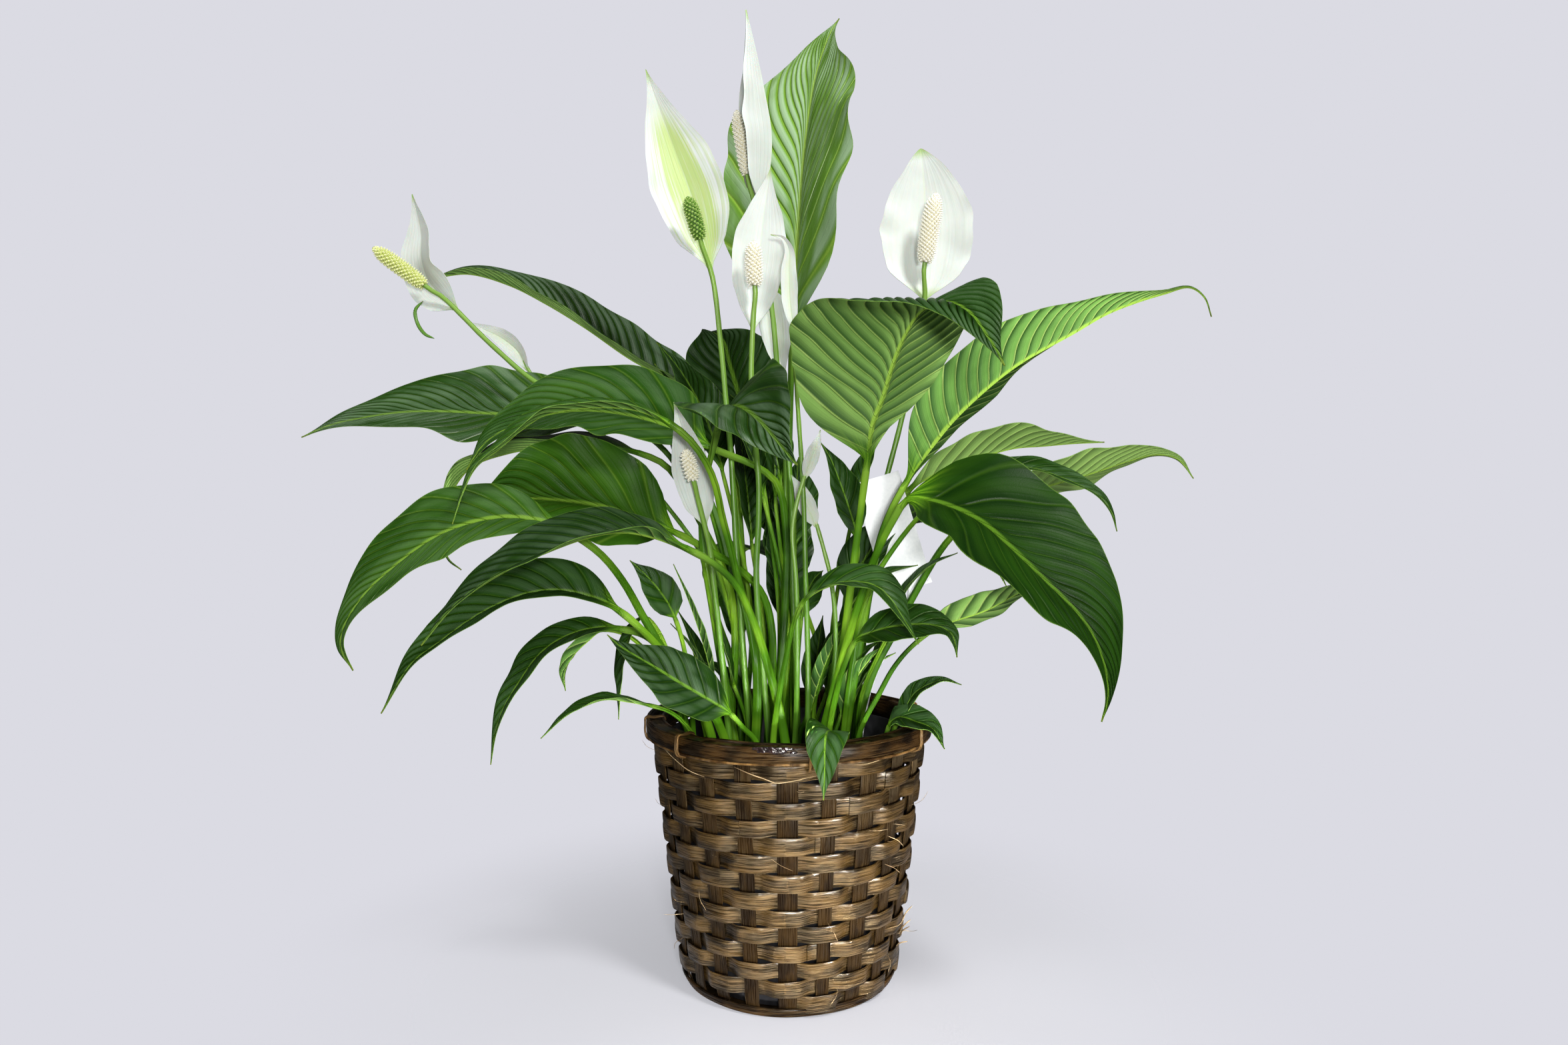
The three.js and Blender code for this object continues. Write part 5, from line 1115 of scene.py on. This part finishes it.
crown("leaves_young_left", foot=(-0.078, -0.008), leaves=[
    ([(-0.098, 0.233, -0.014), (-0.13, 0.278, -0.018)],
     [(-0.155, 0.285, -0.02), (-0.166, 0.277, -0.024), (-0.18, 0.263, -0.028),
      (-0.187, 0.249, -0.03), (-0.186, 0.234, -0.032)],
     0.013, [(-0.4, 0.2, 0.9), (-1, 0.3, 0.2)]),
    ([(-0.092, 0.233, -0.016), (-0.108, 0.283, -0.022)],
     [(-0.121, 0.296, -0.025), (-0.13, 0.285, -0.028), (-0.137, 0.263, -0.032),
      (-0.14, 0.238, -0.035), (-0.142, 0.21, -0.037)],
     0.011, [(-0.4, -0.3, 0.9), (-1, -0.4, 0.2)]),
    ([(-0.082, 0.233, -0.02), (-0.088, 0.273, -0.028)],
     [(-0.095, 0.296, -0.035), (-0.102, 0.31, -0.04), (-0.116, 0.328, -0.046),
      (-0.132, 0.343, -0.05)],
     0.014, [(0.1, -0.9, 0.4)]),
])
crown("leaves_young_rim", foot=(0.072, -0.044), leaves=[
    ([],
     [(0.09, 0.207, -0.052), (0.097, 0.219, -0.054), (0.105, 0.232, -0.056),
      (0.116, 0.239, -0.058), (0.129, 0.243, -0.06), (0.144, 0.239, -0.062)],
     0.009, [(-0.6, -0.5, 0.6), (0, -0.3, 1)]),
    ([],
     [(0.084, 0.205, -0.055), (0.092, 0.212, -0.062), (0.106, 0.208, -0.07),
      (0.12, 0.202, -0.078), (0.13, 0.185, -0.087)],
     0.014, [(0.1, -0.6, 0.75), (0.6, -0.6, 0.5)]),
    ([(0.06, 0.181, -0.07)],
     [(0.041, 0.192, -0.09), (0.035, 0.2, -0.105), (0.031, 0.197, -0.122), (0.03, 0.184, -0.13),
      (0.03, 0.165, -0.136), (0.029, 0.142, -0.138)],
     0.016, [(0, -0.1, 1), (0, -1, 0.4), (0, -1, 0)]),
])
crown("leaves_young_back", foot=(0.048, 0.052), leaves=[
    ([(0.05, 0.253, 0.055), (0.06, 0.323, 0.062)],
     [(0.081, 0.366, 0.09), (0.108, 0.377, 0.13), (0.136, 0.371, 0.17), (0.164, 0.349, 0.205),
      (0.181, 0.321, 0.225)],
     0.032, [(0.1, -0.3, 0.9), (0.3, 0.2, 0.9)]),
    ([(0.046, 0.253, 0.048), (0.046, 0.303, 0.038), (0.05, 0.328, 0.024), (0.057, 0.345, 0.008)],
     [(0.056, 0.363, 0.004), (0.05, 0.385, 0), (0.042, 0.408, -0.003), (0.034, 0.428, -0.006),
      (0.026, 0.441, -0.008)],
     0.017, [(0.5, -0.8, 0.4)]),
    ([(0.03, 0.253, 0.07), (0.01, 0.313, 0.095)],
     [(0, 0.338, 0.12), (-0.03, 0.353, 0.16), (-0.05, 0.343, 0.2), (-0.06, 0.323, 0.23)],
     0.03, [(0, -0.2, 0.95), (-0.2, 0.4, 0.9)]),
])


# Inner leaves. Between the tall stems the clump is filled with short young leaves on thin petioles,
# most of them upright and in the others' shade, and taller ones behind. They are set out by a rule,
# with seeded draws.
CLUMP_RADIUS = 0.062
GOLDEN_ANGLE = math.pi * (3 - math.sqrt(5))


def inner_leaf(name, index, count, azimuth, ranges, rng):
    """A young leaf whose petiole stands at its own place in the clump and leans outwards."""
    rise, lean, length, half_width = [rng.uniform(*between) for between in ranges]
    out = np.array([math.sin(azimuth), -math.cos(azimuth), 0])
    foot = out * CLUMP_RADIUS * math.sqrt((index + 0.5) / count)
    droop = rng.uniform(0.1, 0.8)
    across = np.array([-out[1], out[0], 0]) * rng.uniform(-0.5, 0.5)
    stem_top = foot + [0, 0, SOIL_TOP + rise] + (out + across) * rise * lean
    spine = [np.array(place) for place in foot_points(foot[:2])]
    for w in (0.5, 1):
        spine.append(spine[2] + (stem_top - spine[2]) * w - out * 0.08 * rise * math.sin(w * math.pi))
    for w in (0.25, 0.5, 0.75, 1.0):
        lift = length * (w - 0.55 * droop * w * w)
        spine.append(stem_top + (out + across) * length * w * (0.25 + 0.45 * droop * w) + [0, 0, lift])
    # Drawn low: partly their own tone and partly painted shade for leaves deep in the clump.
    tint, under = rng.uniform(0.0, 0.25), rng.uniform(-0.1, 0.15)
    return blade_and_stem(f"{name}_{index}", np.array(spine), 4, [-out * 0.6 + across + [0, 0, 0.8]],
                          half_width, (0.0026, 0.0016), tint, under, vein_gap=0.009, base=0.9)


rng = np.random.default_rng(11)
inner = []
LOW_COUNT = 22
TALL_COUNT = 14
# The low ones leave this angle free on either side of the front.
FRONT_GAP = 1.0
# The least and most of each one's rise, lean, length and half width.
LOW_RANGES = [(0.04, 0.15), (0.1, 0.26), (0.06, 0.115), (0.008, 0.016)]
TALL_RANGES = [(0.13, 0.26), (0.03, 0.14), (0.09, 0.15), (0.014, 0.026)]
for index in range(LOW_COUNT):
    azimuth = FRONT_GAP + (index * GOLDEN_ANGLE) % (math.tau - 2 * FRONT_GAP)
    inner.append(inner_leaf("low", index, LOW_COUNT, azimuth, LOW_RANGES, rng))
for index in range(TALL_COUNT):
    azimuth = math.pi + rng.uniform(-1.3, 1.3)
    inner.append(inner_leaf("tall", index, TALL_COUNT, azimuth, TALL_RANGES, rng))
dress(joined("leaves_inner", inner), leaf_green, "young_leaf")


# Blooms. A round green stalk ends in the spadix, a finger studded with peg-like florets, and the
# white spathe stands behind it like a hood, seated on the stalk's back.
STALK_RADII = (0.0028, 0.002)
SEAT_GAP = 0.0004
CORE_SHARE = 0.74
PEG_PITCH = 0.0031
PEG_HEIGHT = 0.0016
SPATHE_NECK_RADIUS = 0.0013
AHEAD = [(0, -1, 0)]


def stalk_piece(name, spine, radii, sides=16):
    """A round stalk, thinner towards its end, with the marks that its finish reads."""
    places, ahead, run = stations(spine, 2 / (len(spine) - 1), 1, 70)
    places, ahead = np.vstack([spine[0], places]), np.vstack([[0, 0, 1], ahead])
    run = np.concatenate([[0], run])
    shares = run / run[-1]
    radius = radii[0] + (radii[1] - radii[0]) * shares + 0.00008 * np.sin(run * 300)
    rings = round_rings(places, ahead, np.array([0.1, -1, 0.15]), radius, sides)
    around = np.sin(np.arange(sides) * math.tau / sides)
    return rolled_up(name, rings, {"run": run[:, None], "rise": around * radii[0], "along": shares[:, None]})


def stalk_finish(name):
    """Stalk skin: bright green with fine lengthwise lines, paler towards the bloom."""
    finish = new_finish(name, (0.1, 0.26, 0.02), Roughness=0.36)
    course = step(finish, "CombineXYZ", {0: mark(finish, "run"), 1: mark(finish, "rise")})
    lines = streaks(finish, course, (10, 2200, 1), 3)
    low = ramp(finish, lines, [(0.3, (0.05, 0.15, 0.01)), (0.7, (0.12, 0.29, 0.02))])
    high = ramp(finish, lines, [(0.3, (0.13, 0.27, 0.03)), (0.7, (0.25, 0.43, 0.07))])
    drive(finish, "Base Color", mixed(finish, ranged(finish, mark(finish, "along"), 0.45, 1.0), low, high))
    raise_grain(finish, lines, 0.00025)
    return finish


def spathe_piece(name, places, faces, half_width, green, widest=0.42, base=0.62, tip=1.35, fold=0.25,
                 rows=90):
    """The hood: a thin cupped blade with a few fine veins along it and a drawn-out tip."""
    spine, ahead, run = stations(places, 0, 1, rows)
    rings, marks = blade_rings(
        spine, ahead, faces, half_width, SPATHE_NECK_RADIUS, fold=fold, curl=-0.1, wave=0.0006,
        shape=(widest, base, tip), quilt=0.00008, columns=25, vein_count=4, sweep=0.3, ruffle=0.035,
        seed=sum(map(ord, name)) % 13, rib=0.0007, thick=0.0003)
    return rolled_up(name, rings, {**marks, "run": run[:, None], "green": green})


def spathe_finish(name):
    """White hood skin: soft and slightly clear, with faint lengthwise veins, green along the midrib, at
    the neck and at the tip. A young hood is flushed green in the middle."""
    finish = new_finish(name, (0.8, 0.82, 0.78), Roughness=0.45, Subsurface_Weight=0.2,
                        Subsurface_Scale=0.002, Specular_IOR_Level=0.35)
    across, along, green = mark(finish, "across"), mark(finish, "along"), mark(finish, "green")
    spread = calc(finish, "ABSOLUTE", across)
    course = step(finish, "CombineXYZ", {0: along, 1: across, 2: mark(finish, "vein")})
    fibre = streaks(finish, course, (1.5, 16, 0.2), 3)
    lines = ranged(finish, calc(finish, "PINGPONG", times(finish, spread, 6), 0.5), 0.3, 0.0)
    cloud = noise(finish, own_place(finish), 45)
    white = ramp(finish, cloud, [(0.3, (0.6, 0.63, 0.64)), (0.7, (0.68, 0.71, 0.73))])
    veined = mixed(finish, times(finish, lines, 0.1), white, (0.55, 0.62, 0.5))
    flush = plus(finish, ranged(finish, spread, 1.0, 0.15), ranged(finish, fibre, 0.35, 0.65, -0.5, 0.25))
    flush = times(finish, times(finish, flush, ranged(finish, along, 0.9, 0.6)), green)
    veined = mixed(finish, ranged(finish, flush, -0.25, 0.9, 0.0, 0.9), veined, (0.4, 0.53, 0.14))
    veined = mixed(finish, times(finish, mark(finish, "rib"), 0.3), veined, (0.5, 0.62, 0.34))
    veined = mixed(finish, ranged(finish, along, 0.1, 0.0, 0.0, 0.8), veined, (0.35, 0.52, 0.12))
    tip = ranged(finish, along, 0.92, 1.0, 0.0, 0.85)
    drive(finish, "Base Color", mixed(finish, tip, veined, (0.3, 0.48, 0.1)))
    raise_grain(finish, plus(finish, times(finish, lines, 0.15), fibre), 0.0005, 0.6)
    return finish


def spadix_piece(name, spine, radius):
    """A round-ended core with pegs set round it on a spiral."""
    places, ahead, run = stations(spine, 0, 1, 40)
    share = np.linspace(0, 1, 40)
    swell = np.sqrt(np.maximum(0.02, 1 - np.abs(2 * share - 0.92) ** 4))
    face = np.array([1, 0.2, 0.1])
    rings = round_rings(places, ahead, face, radius * CORE_SHARE * swell, 20)
    core = rolled_up(name, rings, {"peg": 0.0, "along": share[:, None]})
    bpy.ops.mesh.primitive_cone_add(vertices=6, radius1=0.0015, radius2=0.0012, depth=PEG_HEIGHT,
                                    end_fill_type="NGON")
    peg = bpy.context.object
    bpy.ops.object.mode_set(mode="EDIT")
    pick(peg, lambda middle, normal: normal.z > 0.9)
    bpy.ops.mesh.inset(thickness=0.0004)
    bpy.ops.mesh.extrude_region_move(TRANSFORM_OT_translate={"value": (0, 0, 0.0014)})
    bpy.ops.transform.resize(value=(0.5, 0.5, 1))
    pick(peg, lambda middle, normal: normal.z < -0.9)
    bpy.ops.mesh.delete(type="FACE")
    bpy.ops.object.mode_set(mode="OBJECT")
    shape = np.array([v.co for v in peg.data.vertices])
    faces = [tuple(f.vertices) for f in peg.data.polygons]
    bpy.data.objects.remove(peg)
    count = int(run[-1] * radius * math.tau / PEG_PITCH ** 2 / 0.9)
    spots = (np.arange(count) + 0.5) / count
    centres = smooth_path(spine, spots)
    ways = np.stack([np.interp(spots, share, a) for a in ahead.T], axis=1)
    ups = square_to(np.broadcast_to(face, ways.shape), ways)
    rights = np.cross(ways, ups)
    around = np.arange(count) * GOLDEN_ANGLE
    spokes = rights * np.cos(around)[:, None] + ups * np.sin(around)[:, None]
    thickness = radius * CORE_SHARE * np.interp(spots, share, swell)
    slope = np.gradient(thickness, spots * run[-1])
    outs = spokes - ways * slope[:, None].clip(-3, 3)
    outs /= np.linalg.norm(outs, axis=1)[:, None]
    flats = np.cross(ways, outs)
    flats /= np.linalg.norm(flats, axis=1)[:, None]
    ends = np.cross(outs, flats)
    seats = centres + spokes * thickness[:, None]
    points, corners = [], []
    for k in range(count):
        points.append(seats[k] + shape[:, :1] * flats[k] + shape[:, 1:2] * ends[k] + shape[:, 2:] * outs[k])
        corners += [tuple(c + k * len(shape) for c in f) for f in faces]
    studs = bpy.data.meshes.new("studs")
    studs.from_pydata(np.vstack(points).tolist(), [], corners)
    top = np.clip(shape[:, 2] / 0.0022, 0, 1)
    for word, values in [("peg", np.tile(0.3 + 0.7 * top, count)), ("along", np.repeat(spots, len(shape)))]:
        studs.attributes.new(word, "FLOAT", "POINT").data.foreach_set("value", values.astype(np.float32))
    studded = bpy.data.objects.new("studs", studs)
    bpy.context.collection.objects.link(studded)
    bpy.context.view_layer.objects.active = studded
    studded.select_set(True)
    bpy.ops.object.shade_smooth_by_angle(angle=math.radians(60))
    return joined(name, [core, studded])


def spadix_finish(name, painted_cleft_shade, side, top):
    """Floret skin: darker down between the pegs, where shade is painted in, and paler on the pegs' ends."""
    finish = new_finish(name, side, Roughness=0.6)
    mottle = noise(finish, own_place(finish), 700, 2)
    # Painted shade: the core between the pegs takes the dark first colour, and the pegs' feet take part of
    # it.
    rise = plus(finish, mark(finish, "peg"), ranged(finish, mottle, 0.3, 0.7, -0.18, 0.18))
    drive(finish, "Base Color", ramp(finish, rise, [(0.0, painted_cleft_shade), (0.5, side), (0.95, top)]))
    raise_grain(finish, mottle, 0.0003)
    return finish


stalk_green = stalk_finish("stalk_green")
spathe_white = spathe_finish("spathe_white")
SPADIX_FINISHES = {
    "cream": spadix_finish("spadix_cream", (0.55, 0.5, 0.33), (0.84, 0.81, 0.66), (0.93, 0.92, 0.84)),
    "green": spadix_finish("spadix_green", (0.025, 0.085, 0.005), (0.12, 0.27, 0.02), (0.42, 0.55, 0.16)),
    "yellow": spadix_finish("spadix_yellow", (0.3, 0.36, 0.05), (0.62, 0.68, 0.22), (0.86, 0.88, 0.55)),
}


def bloom(name, foot, stalk, spadix, spathe, radius, half_width, face=AHEAD, ripe="cream", green=0.0,
          **shape):
    """One open bloom. The spadix stands on the stalk's end and the spathe on its back."""
    core = seen_at(spadix)
    rise = (core[1] - core[0]) / np.linalg.norm(core[1] - core[0])
    end = core[0] - rise * SEAT_GAP
    spine = np.vstack([foot_points(foot), seen_at(stalk), end - rise * 0.007, end])
    base, *hood = seen_at(spathe)
    shares = np.linspace(0, 1, 401)
    seat = shares[np.linalg.norm(smooth_path(spine, shares) - base, axis=1).argmin()]
    seat_place, seat_ahead, _ = stations(spine, seat, min(seat + 0.01, 1), 2)
    back = -square_to(np.array([face[0]], float), seat_ahead[:1])[0]
    seated = seat_place[0] + back * (STALK_RADII[1] + 0.0011)
    pieces = [
        (stalk_piece(name + "_stalk_looks", spine, STALK_RADII), stalk_green, "_stalk", "bloom_stalk"),
        (spadix_piece(name + "_spadix_looks", core, radius), SPADIX_FINISHES[ripe], "_spadix",
         "spadix_green" if ripe == "green" else "spadix"),
        (spathe_piece(name + "_spathe_looks", [seated, *hood], face, half_width, green, **shape),
         spathe_white, "_spathe", "spathe_green" if green > 0.5 else "spathe"),
    ]
    for piece, finish, node, slot in pieces:
        dress(piece, finish, slot, name + node)


bloom("bloom_far_left", foot=(-0.026, 0.01),
      stalk=[(-0.033, 0.227, 0.01), (-0.047, 0.294, 0.016), (-0.074, 0.378, 0.024), (-0.1, 0.431, 0.028),
             (-0.145, 0.463, 0.031), (-0.205, 0.488, 0.032), (-0.244, 0.52, 0.034),
             (-0.286, 0.561, 0.034)],
      spadix=[(-0.3, 0.57, 0.033), (-0.32, 0.585, 0.03), (-0.341, 0.6, 0.026)],
      spathe=[(-0.273, 0.548, 0.04), (-0.286, 0.561, 0.044), (-0.297, 0.575, 0.048),
              (-0.302, 0.593, 0.05), (-0.302, 0.614, 0.05), (-0.309, 0.644, 0.044)],
      ripe="yellow", radius=0.007, half_width=0.02,
      face=[(-0.6, -0.6, 0.5), (-0.6, -0.8, 0.1), (-0.2, -1, 0)])
# Under this bloom a withered tip curls down from the stalk.
withered_tip = cane(seen_at([(-0.301, 0.557, 0.044), (-0.3075, 0.5495, 0.042), (-0.306, 0.539, 0.041),
                             (-0.3, 0.53, 0.038), (-0.292, 0.5262, 0.035)]), 0.0016, 8, 30, ends=0.1)
withered_tip.name = "withered_tip"
dress(withered_tip, stalk_green, "bloom_stalk")
bloom("bloom_green", foot=(-0.03, -0.014),
      stalk=[(-0.037, 0.254, -0.015), (-0.043, 0.343, -0.014), (-0.048, 0.432, -0.014),
             (-0.052, 0.476, -0.013), (-0.056, 0.52, -0.012), (-0.063, 0.577, -0.013)],
      spadix=[(-0.073, 0.608, -0.022), (-0.078, 0.626, -0.027), (-0.083, 0.641, -0.03)],
      spathe=[(-0.064, 0.582, -0.006), (-0.07, 0.607, -0.002), (-0.079, 0.639, 0.002),
              (-0.091, 0.672, 0.004), (-0.103, 0.704, 0.002), (-0.117, 0.745, -0.006)],
      ripe="green", green=1.0, radius=0.0065, half_width=0.03, base=0.75)
bloom("bloom_top", foot=(0.008, 0.006),
      stalk=[(0.006, 0.254, 0.005), (0.003, 0.327, 0.004), (0.002, 0.393, 0.003), (-0.003, 0.454, 0.003),
             (-0.009, 0.498, 0.003), (-0.013, 0.542, 0.004), (-0.019, 0.585, 0.006),
             (-0.025, 0.626, 0.008)],
      spadix=[(-0.034, 0.66, 0.008), (-0.038, 0.685, 0.009), (-0.043, 0.711, 0.008)],
      spathe=[(-0.02, 0.63, 0.009), (-0.018, 0.653, 0.009), (-0.015, 0.675, 0.01), (-0.015, 0.696, 0.01),
              (-0.02, 0.726, 0.009), (-0.027, 0.759, 0.007), (-0.035, 0.793, 0.004)],
      radius=0.0062, half_width=0.03, fold=0.7,
      face=[(-1, -0.1, 0)])
bloom("bloom_middle", foot=(-0.014, -0.034),
      stalk=[(-0.027, 0.327, -0.03), (-0.025, 0.377, -0.031), (-0.025, 0.41, -0.032),
             (-0.028, 0.443, -0.033), (-0.031, 0.489, -0.034), (-0.029, 0.547, -0.04)],
      spadix=[(-0.028, 0.57, -0.044), (-0.029, 0.588, -0.046), (-0.029, 0.605, -0.047)],
      spathe=[(-0.03, 0.531, -0.03), (-0.027, 0.563, -0.024), (-0.024, 0.596, -0.022),
              (-0.02, 0.631, -0.024), (-0.015, 0.665, -0.028)],
      radius=0.007, half_width=0.022, widest=0.5, base=0.95)
bloom("bloom_right", foot=(0.034, 0.022),
      stalk=[(0.04, 0.227, 0.025), (0.059, 0.31, 0.028), (0.075, 0.388, 0.03), (0.093, 0.459, 0.031),
             (0.101, 0.498, 0.03), (0.108, 0.531, 0.028), (0.112, 0.56, 0.022)],
      spadix=[(0.112, 0.589, 0.014), (0.116, 0.617, 0.01), (0.121, 0.644, 0.008)],
      spathe=[(0.112, 0.558, 0.032), (0.111, 0.588, 0.038), (0.112, 0.618, 0.04), (0.111, 0.648, 0.038),
              (0.108, 0.681, 0.032)],
      radius=0.0085, tip=0.8, half_width=0.04, widest=0.47, base=0.42)
bloom("bloom_low_left", foot=(-0.046, -0.036),
      stalk=[(-0.055, 0.254, -0.04), (-0.062, 0.321, -0.048), (-0.066, 0.355, -0.051),
             (-0.071, 0.377, -0.054), (-0.076, 0.397, -0.058)],
      spadix=[(-0.079, 0.41, -0.062), (-0.082, 0.422, -0.065), (-0.085, 0.434, -0.068)],
      spathe=[(-0.071, 0.371, -0.048), (-0.075, 0.396, -0.047), (-0.081, 0.421, -0.05),
              (-0.087, 0.448, -0.056), (-0.095, 0.474, -0.066)],
      radius=0.0056, half_width=0.015)


# Buds and spent blooms. Each is a green stalk with a small closed or faded hood grown on its end.
def bud(name, foot, stalk, spathe, half_width, face=AHEAD):
    """A stalk and its small hood in one piece, each with its own finish."""
    spine = np.vstack([foot_points(foot), seen_at(stalk)])
    stem = stalk_piece("stem", spine, (0.0024, 0.0016), 12)
    hood = spathe_piece("hood", seen_at(spathe), face, half_width, 0.2, fold=0.5, rows=60)
    stem.data.materials.append(stalk_green)
    hood.data.materials.append(spathe_white)
    piece = joined(name + "_looks", [hood, stem])
    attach(piece, "root")
    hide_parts(name)


bud("bloom_spent_left", foot=(-0.034, 0.044),
    stalk=[(-0.052, 0.31, 0.045), (-0.129, 0.421, 0.085), (-0.184, 0.47, 0.108), (-0.211, 0.495, 0.114),
           (-0.219, 0.508, 0.114)],
    spathe=[(-0.215, 0.5, 0.114), (-0.223, 0.515, 0.112), (-0.236, 0.526, 0.11), (-0.25, 0.533, 0.108),
            (-0.265, 0.54, 0.106)],
    half_width=0.009,
    face=[(-0.4, -0.8, 0.4)])
bud("bud_rolled", foot=(0.016, -0.052),
    stalk=[(0.016, 0.199, -0.052), (0.016, 0.254, -0.052), (0.014, 0.327, -0.052), (0.012, 0.399, -0.05),
           (0.007, 0.476, -0.05), (0.005, 0.509, -0.048), (0.004, 0.534, -0.046)],
    spathe=[(0.004, 0.532, -0.046), (0.001, 0.555, -0.045), (0, 0.58, -0.045), (0, 0.599, -0.046),
            (-0.005, 0.608, -0.048), (-0.015, 0.611, -0.05)],
    half_width=0.007)
bud("bloom_spent_back", foot=(-0.002, 0.022),
    stalk=[(-0.002, 0.31, 0.026), (-0.003, 0.421, 0.03), (-0.004, 0.498, 0.038), (-0.009, 0.552, 0.038),
           (-0.013, 0.568, 0.034)],
    spathe=[(-0.013, 0.567, 0.034), (-0.012, 0.547, 0.03), (-0.009, 0.52, 0.028), (-0.004, 0.491, 0.028)],
    half_width=0.015)
bud("bud_small_upper", foot=(0.004, -0.04),
    stalk=[(0.007, 0.254, -0.062), (0.006, 0.327, -0.06), (0.003, 0.366, -0.058), (0.006, 0.388, -0.057),
           (0.013, 0.413, -0.056)],
    spathe=[(0.013, 0.411, -0.056), (0.018, 0.426, -0.055), (0.024, 0.443, -0.054),
            (0.026, 0.451, -0.053)],
    half_width=0.006)
bud("bud_small_lower", foot=(0.028, -0.02),
    stalk=[(0.039, 0.277, -0.038), (0.035, 0.327, -0.037), (0.029, 0.352, -0.036),
           (0.023, 0.373, -0.035)],
    spathe=[(0.023, 0.371, -0.035), (0.015, 0.388, -0.034), (0.009, 0.402, -0.033),
            (0.002, 0.414, -0.032)],
    half_width=0.008)


# Plant tag. A bare white card stands among the stems on a thin white stick.
TAG_TILT = math.radians(17)
TAG_DEPTH = 0.01
bpy.ops.mesh.primitive_cube_add(size=1)
card = bpy.context.object
card.scale = (0.04, 0.0008, 0.098)
bpy.ops.object.transform_apply()
bpy.ops.object.mode_set(mode="EDIT")
bpy.ops.mesh.subdivide(number_cuts=14)
bpy.ops.object.mode_set(mode="OBJECT")
for vertex in card.data.vertices:
    vertex.co.y += 0.9 * vertex.co.x ** 2 + 0.12 * vertex.co.z ** 2
reshape(card, "soft_edges", "BEVEL", width=0.0002, segments=2, limit_method="ANGLE")
card.rotation_euler = (0, -TAG_TILT, 0)
card.location = (0.087, TAG_DEPTH, 0.365)
bpy.ops.object.transform_apply()
bpy.ops.object.shade_smooth_by_angle(angle=math.radians(40))
stick_places = [(0.062, 0.208), (0.07, 0.243), (0.084, 0.273), (0.097, 0.298), (0.101, 0.323)]
stick_spine = np.vstack([foot_points((0.06, 0.012)), seen_at([(x, z, TAG_DEPTH) for x, z in stick_places])])
tag = joined("plant_tag_looks", [card, stalk_piece("stick", stick_spine, (0.0018, 0.0014), 10)])
white_card = mottled_finish("white_card", (0.82, 0.85, 0.87),
                            [(0.3, (0.78, 0.81, 0.84)), (0.7, (0.86, 0.88, 0.9))],
                            400, 4, 0.0001, Roughness=0.4)
dress(tag, white_card, "white_card", "plant_tag")
